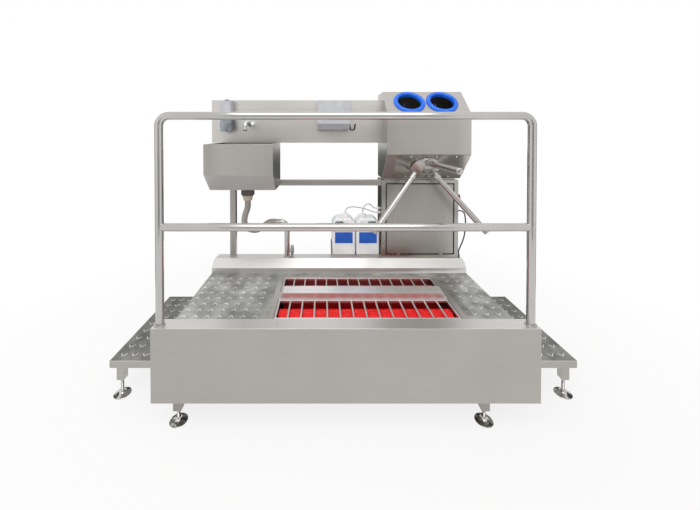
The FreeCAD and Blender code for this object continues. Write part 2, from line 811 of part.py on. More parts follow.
def centre_channel():
    """The raised cover between the lanes, with side flanges that carry the grilles."""
    cover = channel_block(0, SEAT_Z).cut(channel_block(SHEET, SEAT_Z - OVERRUN))
    y = span(WELL_Y, CHANNEL_WIDTH)
    flange_z = (SEAT_Z - SHEET, SEAT_Z)
    for edge in ((y[0] - WELL_SEAT, y[0] + SHEET), (y[1] - SHEET, y[1] + WELL_SEAT)):
        cover = cover.fuse(box(grown(WELL_X, -WELL_SEAT), edge, flange_z))
    return [cover.removeSplitter()]


def spray_pipe():
    x = grown(WELL_X, -SPRAY_END_GAP)
    level = DECK_TOP + CHANNEL_RISE - SHEET - SEAM - SPRAY_R
    pipe = rod(Vector(x[0], WELL_Y, level), Vector(1, 0, 0), SPRAY_R, x[1] - x[0])
    pitch = (x[1] - x[0]) / NOZZLE_COUNT
    for i in range(NOZZLE_COUNT):
        foot = Vector(x[0] + (i + 0.5) * pitch, WELL_Y, level - SPRAY_R - NOZZLE_LENGTH)
        pipe = pipe.fuse(Part.makeCone(NOZZLE_R / 2, NOZZLE_R, NOZZLE_LENGTH + SPRAY_R / 2,
                                       foot, Vector(0, 0, 1)))
    return [pipe]


def roller_places():
    return (WELL_Y - LANE_OFFSET, WELL_Y + LANE_OFFSET)


def bearing_blocks():
    made = []
    for y in roller_places():
        for face, way in ((TANK_LEFT, -1), (TANK_RIGHT, 1)):
            start = Vector(face, y, ROLLER_Z)
            out = Vector(way, 0, 0)
            body = rod(start, out, BEARING_FLANGE_R, BEARING_FLANGE).fuse(
                rod(start, out, BEARING_BOSS_R, BEARING_LENGTH))
            made.append(body.cut(rod(start - out * OVERRUN, out, SHAFT_R + RUNNING,
                                     BEARING_LENGTH + 2 * OVERRUN)))
    return made


def pulley_x():
    start = TANK_LEFT - BEARING_LENGTH - PULLEY_GAP
    return (start - PULLEY_WIDTH, start)


def pulley(centre_y, centre_z, radius):
    """A flat belt pulley with a flange on each side of the belt."""
    x = pulley_x()
    along = Vector(1, 0, 0)
    body = rod(Vector(x[0], centre_y, centre_z), along, radius, PULLEY_WIDTH)
    flanges = [rod(Vector(low, centre_y, centre_z), along, radius + PULLEY_FLANGE_RISE,
                   PULLEY_FLANGE) for low in (x[0], x[1] - PULLEY_FLANGE)]
    return body.fuse(flanges)


def roller_core(y):
    """Core tube, shaft and pulley of one brush roller."""
    inside = (WELL_X[0] - SHEET + CORE_END_GAP, WELL_X[1] + SHEET - CORE_END_GAP)
    shaft_x = (pulley_x()[0], TANK_RIGHT + BEARING_LENGTH)
    along = Vector(1, 0, 0)
    core = rod(Vector(inside[0], y, ROLLER_Z), along, CORE_R, inside[1] - inside[0])
    shaft = rod(Vector(shaft_x[0], y, ROLLER_Z), along, SHAFT_R, shaft_x[1] - shaft_x[0])
    return [core.fuse([shaft, pulley(y, ROLLER_Z, PULLEY_R)]).removeSplitter()]


def roller_bristles(y):
    x = grown(WELL_X, -BRISTLE_END_GAP)
    return [ring(Vector(x[0], y, ROLLER_Z), Vector(1, 0, 0), BRISTLE_R, CORE_R + RUNNING,
                 x[1] - x[0])]


def motor_pulley():
    x = pulley_x()
    shaft = rod(Vector(x[1], WELL_Y, MOTOR_SHAFT_Z), Vector(-1, 0, 0), MOTOR_SHAFT_R,
                PULLEY_WIDTH + MOTOR_SHAFT_LENGTH)
    return [pulley(WELL_Y, MOTOR_SHAFT_Z, MOTOR_PULLEY_R).fuse(shaft).removeSplitter()]


def belt_outline(grow):
    """The belt's loop round three pulleys, this far outside their rims, as a closed wire."""
    wheels = [(WELL_Y - LANE_OFFSET, ROLLER_Z, PULLEY_R + grow),
              (WELL_Y + LANE_OFFSET, ROLLER_Z, PULLEY_R + grow),
              (WELL_Y, MOTOR_SHAFT_Z, MOTOR_PULLEY_R + grow)]
    spots = []
    for i in range(3):
        (ay, az, ar), (by, bz, br) = wheels[i], wheels[(i + 1) % 3]
        distance = math.hypot(by - ay, bz - az)
        heading = math.atan2(bz - az, by - ay)
        out = heading + math.acos((ar - br) / distance)
        spots.append(((ay + ar * math.cos(out), az + ar * math.sin(out)),
                      (by + br * math.cos(out), bz + br * math.sin(out)), out))
    edges = []
    for i in range(3):
        leave, arrive, out = spots[i]
        _, _, next_out = spots[(i + 1) % 3]
        wheel = wheels[(i + 1) % 3]
        turn = (out - next_out) % (2 * math.pi)
        middle = out - turn / 2
        top = (wheel[0] + wheel[2] * math.cos(middle), wheel[1] + wheel[2] * math.sin(middle))
        following = spots[(i + 1) % 3][0]
        corners = [Vector(0, *p) for p in (leave, arrive, top, following)]
        edges.append(Part.LineSegment(corners[0], corners[1]).toShape())
        edges.append(Part.Arc(corners[1], corners[2], corners[3]).toShape())
    return Part.Wire(edges)


def drive_belt():
    x = grown(pulley_x(), -PULLEY_FLANGE - SEAM)
    push = Vector(x[1] - x[0], 0, 0)
    outer = Part.Face(belt_outline(SEAM + BELT_THICKNESS)).extrude(push)
    belt = outer.cut(Part.Face(belt_outline(SEAM)).extrude(push))
    belt.translate(Vector(x[0], 0, 0))
    return [belt]


def gearmotor():
    """Gearbox and motor on a foot plate that stands on the frame's middle rail."""
    face = pulley_x()[0] - MOTOR_SHAFT_LENGTH / 2
    rail_top = SKIRT_BOTTOM + SHEET + TUBE
    plate_top = rail_top + MOTOR_PLATE
    gearbox_x = (face - GEARBOX_LENGTH, face)
    width = span(WELL_Y, GEARBOX_WIDTH)
    plate = box(gearbox_x, width, (rail_top, plate_top))
    gearbox = box(gearbox_x, width, (plate_top, GEARBOX_TOP_Z))
    motor = rod(Vector(gearbox_x[0], WELL_Y, MOTOR_SHAFT_Z), Vector(-1, 0, 0), MOTOR_R,
                MOTOR_LENGTH)
    mid_x = gearbox_x[0] - MOTOR_LENGTH / 2
    terminal = box(span(mid_x, TERMINAL_LENGTH), span(WELL_Y, TERMINAL_WIDTH),
                   (MOTOR_SHAFT_Z, MOTOR_SHAFT_Z + MOTOR_R + TERMINAL_HEIGHT))
    bore = rod(Vector(face + OVERRUN, WELL_Y, MOTOR_SHAFT_Z), Vector(-1, 0, 0),
               MOTOR_SHAFT_R + RUNNING, MOTOR_SHAFT_LENGTH)
    return [plate, gearbox.fuse([motor, terminal]).removeSplitter().cut(bore)]


def grille(lane_y):
    """A welded frame with round rods across the lane."""
    x = grown(WELL_X, -GRILLE_GAP)
    y = grown(span(lane_y, LANE_WIDTH), -GRILLE_GAP)
    z = (SEAT_Z + SEAM, SEAT_Z + SEAM + GRILLE_HEIGHT)
    frame = box(x, y, z).cut(box(grown(x, -GRILLE_BAR), grown(y, -GRILLE_BAR),
                                 grown(z, OVERRUN)))
    rods = []
    pitch = (x[1] - x[0]) / (ROD_COUNT + 1)
    for i in range(ROD_COUNT):
        start = Vector(x[0] + (i + 1) * pitch, y[0] + GRILLE_BAR / 2, z[1] - ROD_R)
        rods.append(rod(start, Vector(0, 1, 0), ROD_R - SEAM / 2, y[1] - y[0] - GRILLE_BAR))
    return [frame.fuse(rods)]


def step_frames():
    """Four legs and four rails under each step."""
    made = [leg(x, y, STEP_LEG_BOTTOM, STEP_TOP - PLATE) for x, y in step_leg_places()]
    rail_z = (STEP_TOP - PLATE - STEP_RAIL, STEP_TOP - PLATE)
    places = step_leg_places()
    for side in (0, 4):
        legs = places[side:side + 4]
        outer_x, inner_x = legs[0][0], legs[2][0]
        front_y, back_y = legs[0][1], legs[1][1]
        low, high = sorted((outer_x, inner_x))
        for y in (front_y, back_y):
            made.append(square_tube("x", (low[1], high[0]), span(sum(y) / 2, STEP_RAIL), rail_z))
        for x in (outer_x, inner_x):
            made.append(square_tube("y", span(sum(x) / 2, STEP_RAIL), (front_y[1], back_y[0]),
                                    rail_z))
    return made


def step_treads():
    """Lugged plates with all four edges turned down."""
    y = (FRONT + STEP_FRONT_DEPTH, STEP_BACK)
    made = []
    for side in (-1, 1):
        edges = (side * (DECK_HALF + SEAM), side * STEP_SPAN / 2)
        x = (min(edges), max(edges))
        tray = box(x, y, (STEP_TOP - STEP_LIP, STEP_TOP)).cut(
            box(grown(x, -PLATE), grown(y, -PLATE),
                (STEP_TOP - STEP_LIP - OVERRUN, STEP_TOP - PLATE)))
        made.append(tray.fuse(lugs(x, y, STEP_TOP, (STEP_LUG_PITCH_X, STEP_LUG_PITCH_Y),
                                   STEP_LUG_HALF_WIDTH, STEP_LUG_LENGTH, 1)))
    return made


def handrail():
    """The hoop, the rail across it and the ring welded round each foot."""
    y = FRONT + HANDRAIL_SETBACK
    half = HANDRAIL_SPAN / 2
    hoop = bent_tube([Vector(-half, y, KERB_TOP), Vector(-half, y, HANDRAIL_TOP),
                      Vector(half, y, HANDRAIL_TOP), Vector(half, y, KERB_TOP)],
                     HANDRAIL_R, HANDRAIL_WALL, HANDRAIL_BEND)
    middle = ring(Vector(-half, y, HANDRAIL_MID), Vector(1, 0, 0), HANDRAIL_R,
                  HANDRAIL_R - HANDRAIL_WALL, HANDRAIL_SPAN)
    rings = []
    for x in (-half, half):
        post = rod(Vector(x, y, KERB_TOP), Vector(0, 0, 1), HANDRAIL_R + RUNNING,
                   HANDRAIL_TOP - KERB_TOP)
        middle = middle.cut(post)
        rings.append(ring(Vector(x, y, KERB_TOP), Vector(0, 0, 1), RAIL_RING_R,
                          HANDRAIL_R + RUNNING, RAIL_RING))
    return [hoop, middle] + rings


def rear_frame():
    """The post behind the sink and the tube from it to the cabinet."""
    post_y = (POST_FRONT, POST_FRONT + TUBE)
    post = square_tube("z", span(POST_X, TUBE), post_y, (LEDGE_TOP, PANEL_TOP))
    cross = square_tube("x", (POST_X + TUBE / 2, CABINET_LEFT), post_y,
                        (CROSS_TUBE_TOP - TUBE, CROSS_TUBE_TOP))
    return [post, cross]


def back_panel():
    fold = folded([(POST_FRONT, PANEL_BOTTOM), (PANEL_FACE, PANEL_BOTTOM),
                   (PANEL_FACE, PANEL_TOP), (POST_FRONT, PANEL_TOP)], -SHEET)
    return [prism(fold, "x", (PANEL_LEFT, CABINET_LEFT))]


def sink_bottom():
    return SINK_KINK_Z - SINK_SLOPE


def sink_bowl():
    """A folded bowl with a sloped lower front and a rim turned inwards."""
    front = FRONT + SINK_FRONT_DEPTH
    outline = [(front, SINK_KINK_Z), (front + SINK_SLOPE, sink_bottom()),
               (POST_FRONT, sink_bottom()), (POST_FRONT, PANEL_BOTTOM), (front, PANEL_BOTTOM)]
    x = (SINK_LEFT, SINK_RIGHT)
    bowl = prism(outline, "x", x).cut(prism(inset(outline, SHEET), "x", grown(x, -SHEET)))
    mouth = box(grown(x, -SINK_RIM), (front + SINK_RIM, POST_FRONT - SINK_RIM),
                (PANEL_BOTTOM - 2 * SHEET, PANEL_BOTTOM + OVERRUN))
    waste = rod(at_depth(WASTE_X, WASTE_DEPTH, sink_bottom() - OVERRUN), Vector(0, 0, 1),
                WASTE_TAIL_R + RUNNING, SHEET + 2 * OVERRUN)
    return [bowl.cut(mouth).cut(waste)]


def hose_top():
    return sink_bottom() - WASTE_RING_HEIGHT - WASTE_NUT_HEIGHT


def sink_waste():
    """Strainer with its threaded tail, the ring nut under the bowl and the hose nut."""
    base = Placement(at_depth(WASTE_X, WASTE_DEPTH, 0), Rotation())
    inside = sink_bottom() + SHEET
    tail_r = WASTE_TAIL_R
    tail = turned([(WASTE_BORE_R, hose_top()), (tail_r, hose_top()), (tail_r, inside),
                   (WASTE_FLANGE_R, inside), (WASTE_FLANGE_R, inside + WASTE_FLANGE),
                   (WASTE_BORE_R, inside + WASTE_FLANGE)], base)
    under = sink_bottom()
    nut_top = under - WASTE_RING_HEIGHT
    ring_nut = turned([(tail_r + RUNNING, nut_top), (WASTE_RING_R, nut_top),
                       (WASTE_RING_R, under), (tail_r + RUNNING, under)], base)
    hose_nut = turned([(tail_r + RUNNING, hose_top()), (WASTE_NUT_FOOT_R, hose_top()),
                       (WASTE_NUT_R, nut_top), (tail_r + RUNNING, nut_top)], base)
    return [tail, ring_nut, hose_nut]


def drain_hose():
    """The grey waste hose, down from the bowl, through its bend and along to the pipe."""
    pipe_end = PIPE_X - PIPE_ARM
    points = [at_depth(WASTE_X, WASTE_DEPTH, hose_top()),
              at_depth(WASTE_X, WASTE_DEPTH, 960),
              at_depth(-634, 606, 905),
              at_depth(-642, 618, 850),
              at_depth(-618, 636, 806),
              at_depth(-572, 660, 788),
              at_depth(-530, 696, 800),
              at_depth(-494, PIPE_DEPTH, PIPE_ELBOW_Z),
              at_depth(pipe_end, PIPE_DEPTH, PIPE_ELBOW_Z)]
    return [bent_tube(points, HOSE_R, HOSE_R - WASTE_BORE_R, None, "drain_hose")]


def drain_pipe():
    foot = at_depth(PIPE_X, PIPE_DEPTH, LEDGE_TOP)
    path = [foot, at_depth(PIPE_X, PIPE_DEPTH, PIPE_ELBOW_Z),
            at_depth(PIPE_X - PIPE_ARM, PIPE_DEPTH, PIPE_ELBOW_Z)]
    flange = rod(foot, Vector(0, 0, 1), PIPE_FLANGE_R, PIPE_FLANGE)
    return [bent_tube(path, PIPE_R, PIPE_WALL, PIPE_BEND, None, [flange])]


def valve_middle():
    return VALVE_BODY_Z + VALVE_BODY / 2


def water_valve():
    """A ball valve on a short pipe, open at the top for the water supply."""
    foot = at_depth(VALVE_X, PIPE_DEPTH, LEDGE_TOP)
    up = Vector(0, 0, 1)
    pipe = rod(foot, up, VALVE_PIPE_R - VALVE_BORE_R / 4, VALVE_BODY_Z - LEDGE_TOP)
    body = box(span(VALVE_X, VALVE_BODY), span(foot.y, VALVE_BODY),
               (VALVE_BODY_Z, VALVE_TOP_Z - VALVE_SPIGOT))
    spigot = rod(at_depth(VALVE_X, PIPE_DEPTH, VALVE_TOP_Z - VALVE_SPIGOT), up, VALVE_PIPE_R,
                 VALVE_SPIGOT)
    bore = rod(foot - up * OVERRUN, up, VALVE_BORE_R, VALVE_TOP_Z - LEDGE_TOP + 2 * OVERRUN)
    stem = rod(Vector(VALVE_X, foot.y - VALVE_BODY / 2, valve_middle()), Vector(0, -1, 0),
               VALVE_STEM_R, VALVE_STEM)
    return [pipe.fuse([body, spigot]).removeSplitter().cut(bore).fuse(stem)]


def valve_lever():
    """A flat lever on the valve's stem, in line with the pipe while the valve is open."""
    face = FRONT + PIPE_DEPTH - VALVE_BODY / 2 - VALVE_STEM
    centre = Vector(VALVE_X, face, valve_middle())
    hub = rod(centre, Vector(0, 1, 0), LEVER_HUB_R, LEVER_THICKNESS)
    blade = box(span(VALVE_X, LEVER_WIDTH), (face, face + LEVER_THICKNESS),
                (valve_middle(), valve_middle() + LEVER_LENGTH))
    hole = rod(centre - Vector(0, OVERRUN, 0), Vector(0, 1, 0), VALVE_STEM_R + RUNNING,
               LEVER_THICKNESS + 2 * OVERRUN)
    return [hub.fuse(blade).removeSplitter().cut(hole)]


def tap():
    """A wall spout that rises from its flange and turns down to a black outlet ring."""
    start = Vector(WASTE_X, PANEL_FACE, TAP_Z)
    neck = start - Vector(0, TAP_REACH * TAP_NECK_SHARE, 0)
    crest = start + Vector(0, -TAP_REACH * TAP_CREST_SHARE, TAP_RISE)
    brow = start + Vector(0, -TAP_REACH, TAP_RISE / 2)
    tip = brow - Vector(0, 0, TAP_DROP)
    spout = bent_tube([start, neck, crest, brow, tip], TAP_R, None, TAP_BEND)
    flange = rod(start, Vector(0, -1, 0), TAP_FLANGE_R, TAP_FLANGE)
    outlet = ring(tip, Vector(0, 0, -1), TAP_TIP_R, TAP_TIP_BORE, TAP_TIP)
    return [spout.fuse(flange), outlet]


def soap_reservoir():
    x = span(SOAP_X, SOAP_WIDTH)
    tank = box(x, (PANEL_FACE - SOAP_DEPTH, PANEL_FACE), (SOAP_BOTTOM, SOAP_TOP))
    front_edges = [e for e in tank.Edges
                   if abs(e.tangentAt(0).z) > 0.9 and e.CenterOfMass.y < PANEL_FACE - SOAP_DEPTH / 2]
    tank = tank.makeFillet(SOAP_CORNER, front_edges)
    cap = rod(Vector(SOAP_X, PANEL_FACE - SOAP_DEPTH / 2, SOAP_TOP), Vector(0, 0, 1),
              SOAP_CAP_R, SOAP_CAP)
    return [tank, cap]


def soap_pin():
    """Where the soap lever's pin runs, along X."""
    return (PANEL_FACE - SOAP_BLOCK_DEPTH - SOAP_LEVER_GAP / 2, SOAP_BOTTOM - SOAP_PIN_DROP)


def soap_valve():
    """The valve block under the reservoir, with the pin its lever hangs on."""
    block = box(span(SOAP_X, SOAP_BLOCK_WIDTH), (PANEL_FACE - SOAP_BLOCK_DEPTH, PANEL_FACE),
                (SOAP_BLOCK_BOTTOM, SOAP_BOTTOM))
    spout = rod(Vector(SOAP_X, PANEL_FACE - SOAP_BLOCK_DEPTH / 2, SOAP_BLOCK_BOTTOM),
                Vector(0, 0, -1), SOAP_SPOUT_R, SOAP_SPOUT)
    y, z = soap_pin()
    ears = [box(span(SOAP_X + side * (SOAP_BLOCK_WIDTH - SOAP_CHEEK) / 2, SOAP_CHEEK),
                (y - 2 * SOAP_PIN_R, PANEL_FACE - SOAP_BLOCK_DEPTH + SOAP_CHEEK),
                (z - 2 * SOAP_PIN_R, z + 2 * SOAP_PIN_R)) for side in (-1, 1)]
    pin = rod(Vector(SOAP_X - SOAP_LEVER_WIDTH / 2, y, z), Vector(1, 0, 0), SOAP_PIN_R,
              SOAP_LEVER_WIDTH)
    return [block.fuse([spout, pin] + ears).removeSplitter()]


def soap_lever():
    """A push plate bent round the block, with two cheeks on the pin."""
    y, z = soap_pin()
    front = y - SOAP_LEVER_GAP
    plate = box(span(SOAP_X, SOAP_LEVER_WIDTH), (front - SOAP_LEVER, front),
                (z - SOAP_LEVER_LENGTH, z + 2 * SOAP_PIN_R))
    cheeks = []
    for side in (-1, 1):
        x = span(SOAP_X + side * (SOAP_LEVER_WIDTH - SOAP_CHEEK) / 2, SOAP_CHEEK)
        cheeks.append(box(x, (front, y + 2 * SOAP_PIN_R), (z - 2 * SOAP_PIN_R, z + 2 * SOAP_PIN_R)))
    hole = rod(Vector(SOAP_X - SOAP_LEVER_WIDTH, y, z), Vector(1, 0, 0), SOAP_PIN_R + RUNNING,
               2 * SOAP_LEVER_WIDTH)
    return [plate.fuse(cheeks).cut(hole)]


def towel_axis():
    """Where the towel cover's hinge pins run, along X."""
    return (PANEL_FACE - TOWEL_BACKPLATE - TOWEL_COVER_GAP, TOWEL_BOTTOM + TOWEL_SHEET)


def towel_cover():
    """A folded cover with a chamfered lower front, open behind and under the towels."""
    rear = towel_axis()[0]
    front = PANEL_FACE - TOWEL_DEPTH
    outline = [(front, TOWEL_BOTTOM + TOWEL_CHAMFER), (front + TOWEL_CHAMFER, TOWEL_BOTTOM),
               (rear, TOWEL_BOTTOM), (rear, TOWEL_TOP), (front, TOWEL_TOP)]
    x = (TOWEL_LEFT, TOWEL_RIGHT)
    cover = prism(outline, "x", x).cut(prism(inset(outline, TOWEL_SHEET), "x",
                                             grown(x, -TOWEL_SHEET)))
    inner_x = grown(x, -TOWEL_SHEET)
    back_mouth = box(inner_x, (rear - 2 * TOWEL_SHEET, rear + OVERRUN),
                     (TOWEL_BOTTOM - OVERRUN, TOWEL_TOP - TOWEL_SHEET))
    slot = box(inner_x, (front + TOWEL_SLOT_START, rear + OVERRUN),
               (TOWEL_BOTTOM - OVERRUN, TOWEL_BOTTOM + OVERRUN))
    holes = rod(Vector(TOWEL_LEFT - OVERRUN, *towel_axis_shifted()), Vector(1, 0, 0),
                TOWEL_PIN_R + RUNNING, TOWEL_RIGHT - TOWEL_LEFT + 2 * OVERRUN)
    return [cover.cut([back_mouth, slot, holes])]


def towel_axis_shifted():
    """The pins sit a little inside the cover's lower rear corners."""
    y, z = towel_axis()
    return (y - 2 * TOWEL_PIN_R, z + 2 * TOWEL_PIN_R)


def towel_case():
    """Back plate, towel shelf and the two lugs whose pins carry the cover."""
    x = (TOWEL_LEFT, TOWEL_RIGHT)
    plate = box(grown(x, -TOWEL_SHEET - SEAM), (PANEL_FACE - TOWEL_BACKPLATE, PANEL_FACE),
                (TOWEL_BOTTOM, TOWEL_TOP - TOWEL_SHEET - SEAM))
    shelf_z = TOWEL_BOTTOM + TOWEL_SHELF_RISE
    inner = grown(x, -TOWEL_SHEET - SEAM - TOWEL_LUG)
    shelf = box(inner, (PANEL_FACE - TOWEL_DEPTH / 2, PANEL_FACE - TOWEL_BACKPLATE),
                (shelf_z, shelf_z + TOWEL_SHEET))
    y, z = towel_axis_shifted()
    parts = [shelf]
    for low in (x[0] + TOWEL_SHEET + SEAM, x[1] - TOWEL_SHEET - SEAM - TOWEL_LUG):
        parts.append(box((low, low + TOWEL_LUG), (y - 2 * TOWEL_PIN_R, PANEL_FACE),
                         (z - 2 * TOWEL_PIN_R, z + TOWEL_LUG_RISE)))
    for start, way in ((x[0], 1), (x[1], -1)):
        parts.append(rod(Vector(start, y, z), Vector(way, 0, 0), TOWEL_PIN_R, 2 * TOWEL_LUG))
    return [plate.fuse(parts).removeSplitter()]


def coat_hook():
    """A round bar bent to a U, both ends turned back to the panel."""
    front = PANEL_FACE - HOOK_STANDOFF
    right = HOOK_LEFT + HOOK_WIDTH
    low = HOOK_TOP - HOOK_DROP
    points = [Vector(HOOK_LEFT, PANEL_FACE, HOOK_TOP), Vector(HOOK_LEFT, front, HOOK_TOP),
              Vector(HOOK_LEFT + HOOK_TAPER, front, low), Vector(right - HOOK_TAPER, front, low),
              Vector(right, front, HOOK_TOP), Vector(right, PANEL_FACE, HOOK_TOP)]
    return [bent_tube(points, HOOK_R, None, HOOK_BEND)]


def jug_tray():
    """A folded tray on the ledge: floor, side walls, back wall and a low front lip."""
    x = (TRAY_LEFT, CABINET_LEFT)
    y = (FRONT + TRAY_FRONT_DEPTH, FRONT + TRAY_BACK_DEPTH)
    z = (LEDGE_TOP, LEDGE_TOP + TRAY_WALL_RISE)
    tray = box(x, y, z).cut(box(grown(x, -SHEET), grown(y, -SHEET),
                                (z[0] + SHEET, z[1] + OVERRUN)))
    front = box(grown(x, -SHEET), (y[0] - OVERRUN, y[0] + SHEET + OVERRUN),
                (z[0] + SHEET + TRAY_LIP, z[1] + OVERRUN))
    return [tray.cut(front)]


def jug_body(centre_x, cap_x):
    """A blow-moulded jug: rounded body, sloped shoulders, a grip bar and a short neck."""
    x = span(centre_x, JUG_WIDTH)
    y = (FRONT + JUG_FRONT_DEPTH, FRONT + JUG_FRONT_DEPTH + JUG_DEPTH)
    bottom = LEDGE_TOP + SHEET
    top = bottom + JUG_HEIGHT
    slope = JUG_SHOULDER / 2
    outline = [(x[0], bottom), (x[1], bottom), (x[1], top - slope), (x[1] - slope, top),
               (x[0] + slope, top), (x[0], top - slope)]
    body = prism(outline, "y", y)
    corners = [e for e in body.Edges if abs(e.tangentAt(e.FirstParameter).z) > 0.9]
    body = body.makeFillet(JUG_CORNER, corners)
    grip_z = top - JUG_GRIP_DROP
    away = 1 if centre_x > cap_x else -1
    grip_x = span(centre_x + away * JUG_GRIP_WIDTH / 2, JUG_GRIP_WIDTH)
    gap = box(grip_x, grown(y, OVERRUN), (grip_z, grip_z + JUG_GRIP_HEIGHT))
    half = JUG_NOTCH_WIDTH / 2
    arch_r = (half * half + JUG_NOTCH_RISE * JUG_NOTCH_RISE) / (2 * JUG_NOTCH_RISE)
    arch = rod(Vector(centre_x, y[0] - OVERRUN, bottom + JUG_NOTCH_RISE - arch_r),
               Vector(0, 1, 0), arch_r, JUG_CORNER + OVERRUN)
    return body.cut([gap, arch])


def jugs():
    return [jug_body(JUG_LEFT_X, CAP_LEFT_X), jug_body(JUG_RIGHT_X, CAP_RIGHT_X)]


def jug_caps():
    """A screw cap with a tube nipple on each jug's shoulder."""
    made = []
    seat = LEDGE_TOP + SHEET + JUG_HEIGHT
    for x in (CAP_LEFT_X, CAP_RIGHT_X):
        foot = at_depth(x, CAP_DEPTH, seat)
        nipple = rod(foot, Vector(0, 0, 1), CAP_NIPPLE_R, CAP_Z + CAP_HEIGHT - seat)
        made.append(rod(foot, Vector(0, 0, 1), CAP_R, CAP_HEIGHT).fuse(nipple).removeSplitter())
    return made


def suction_tube_left():
    top = CAP_Z + CAP_HEIGHT
    points = [at_depth(CAP_LEFT_X, CAP_DEPTH, top),
              at_depth(CAP_LEFT_X, CAP_DEPTH, 886),
              at_depth(61, 810, 902),
              at_depth(77, 806, 914),
              at_depth(101, 801, 920),
              at_depth(134, 796, 919),
              at_depth(172, 793, 913),
              at_depth(210, 791, 903),
              at_depth(240, 791, 891),
              at_depth(263, ELBOW_LEFT_DEPTH, ELBOW_LEFT_Z),
              at_depth(CABINET_LEFT - ELBOW_LENGTH, ELBOW_LEFT_DEPTH, ELBOW_LEFT_Z)]
    return [bent_tube(points, SUCTION_R, None, None, "suction_tube_left")]


def suction_tube_right():
    top = CAP_Z + CAP_HEIGHT
    points = [at_depth(CAP_RIGHT_X, CAP_DEPTH, top),
              at_depth(CAP_RIGHT_X, CAP_DEPTH, 886),
              at_depth(184, 812, 903),
              at_depth(192, 813, 920),
              at_depth(205, 814, 932),
              at_depth(223, 815, 938),
              at_depth(241, 817, 932),
              at_depth(254, 818, 920),
              at_depth(266, ELBOW_RIGHT_DEPTH, ELBOW_RIGHT_Z),
              at_depth(CABINET_LEFT - ELBOW_LENGTH, ELBOW_RIGHT_DEPTH, ELBOW_RIGHT_Z)]
    return [bent_tube(points, SUCTION_R, None, None, "suction_tube_right")]


def doorway():
    return ((DOORWAY_LEFT, DOORWAY_RIGHT), (DOORWAY_BOTTOM, DOORWAY_TOP))


def cabinet_shell():
    """The welded cabinet, its door rests, and the collar that spaces the housing above."""
    x = (CABINET_LEFT, CABINET_RIGHT)
    y = (CABINET_FRONT, CABINET_BACK)
    z = (LEDGE_TOP, CABINET_TOP)
    shell = box(x, y, z).cut(box(grown(x, -SHEET), grown(y, -SHEET), grown(z, -SHEET)))
    way_x, way_z = doorway()
    shell = shell.cut(box(way_x, (y[0] - OVERRUN, y[0] + SHEET + OVERRUN), way_z))
    centre = sum(way_x) / 2
    for side in (-1, 1):
        rest = box(span(centre + side * DOOR_REST_SPACING / 2, DOOR_REST_WIDTH),
                   (y[0], y[0] + DOOR_REST_DEPTH), (way_z[0] - SHEET, way_z[0] + DOOR_GAP - SEAM))
        shell = shell.fuse(rest)
    collar = square_tube("z", grown(x, -NECK_INSET), grown(y, -NECK_INSET),
                         (CABINET_TOP, HOUSING_BOTTOM))
    return [shell, collar]


def cabinet_door():
    """A lift-off panel with its edges turned back, drilled for the two locks."""
    way_x, way_z = doorway()
    x, z = grown(way_x, -DOOR_GAP), grown(way_z, -DOOR_GAP)
    y = (CABINET_FRONT, CABINET_FRONT + DOOR_RETURN)
    door = box(x, y, z).cut(box(grown(x, -SHEET), (y[0] + SHEET, y[1] + OVERRUN),
                                grown(z, -SHEET)))
    for lock_x in lock_places():
        door = door.cut(rod(Vector(lock_x, y[0] - OVERRUN, LOCK_Z), Vector(0, 1, 0),
                            LOCK_SPINDLE_R + RUNNING, DOOR_RETURN + 2 * OVERRUN))
    return [door]


def lock_places():
    way_x, _ = doorway()
    inset_x = DOOR_GAP + LOCK_INSET
    return (way_x[0] + inset_x, way_x[1] - inset_x)


def door_lock(x):
    """A quarter-turn lock: slotted face, spindle and a tongue that hangs down when free."""
    face_y = CABINET_FRONT - LOCK_FACE
    back = CABINET_FRONT + DOOR_RETURN + SEAM
    face = rod(Vector(x, face_y, LOCK_Z), Vector(0, 1, 0), LOCK_R, LOCK_FACE - RUNNING)
    slot = box(span(x, LOCK_SLOT), (face_y - OVERRUN, face_y + LOCK_SLOT),
               span(LOCK_Z, LOCK_R))
    spindle = rod(Vector(x, face_y + LOCK_SLOT, LOCK_Z), Vector(0, 1, 0), LOCK_SPINDLE_R,
                  back + TONGUE - face_y - LOCK_SLOT)
    tongue = box(span(x, TONGUE_WIDTH), (back, back + TONGUE),
                 (LOCK_Z - TONGUE_LENGTH, LOCK_Z + TONGUE_WIDTH / 2))
    return [face.cut(slot).fuse([spindle, tongue]).removeSplitter()]


def cabinet_equipment():
    """The control box and the two dosing pumps on the cabinet's back wall."""
    back = CABINET_BACK - SHEET
    control = box(span(CONTROL_X, CONTROL_WIDTH), (back - CONTROL_DEPTH, back),
                  span(CONTROL_Z, CONTROL_HEIGHT))
    lid = box(grown(span(CONTROL_X, CONTROL_WIDTH), CONTROL_LID),
              (back - CONTROL_DEPTH - CONTROL_LID, back - CONTROL_DEPTH),
              grown(span(CONTROL_Z, CONTROL_HEIGHT), CONTROL_LID))
    made = [control, lid]
    for level in (-1, 1):
        z = PUMP_Z + level * PUMP_PITCH / 2
        body = box(span(PUMP_X, PUMP_WIDTH), (back - PUMP_DEPTH, back), span(z, PUMP_HEIGHT))
        head = rod(Vector(PUMP_X, back - PUMP_DEPTH, z), Vector(0, -1, 0), PUMP_HEAD_R, PUMP_HEAD)
        made.append(body.fuse(head))
    return made


def gland(start, out, nut_r, dome_r):
    """A cable gland: nut on the sheet and a domed cap with the cable's hole."""
    nut = rod(start, out, nut_r, GLAND_NUT)
    dome = Part.makeCone(nut_r, dome_r, GLAND_LENGTH - GLAND_NUT, start + out * GLAND_NUT, out)
    return nut.fuse(dome)


def cable_gland_face():
    return Vector(CABINET_RIGHT, FRONT + CABLE_GLAND_DEPTH, CABLE_GLAND_Z)


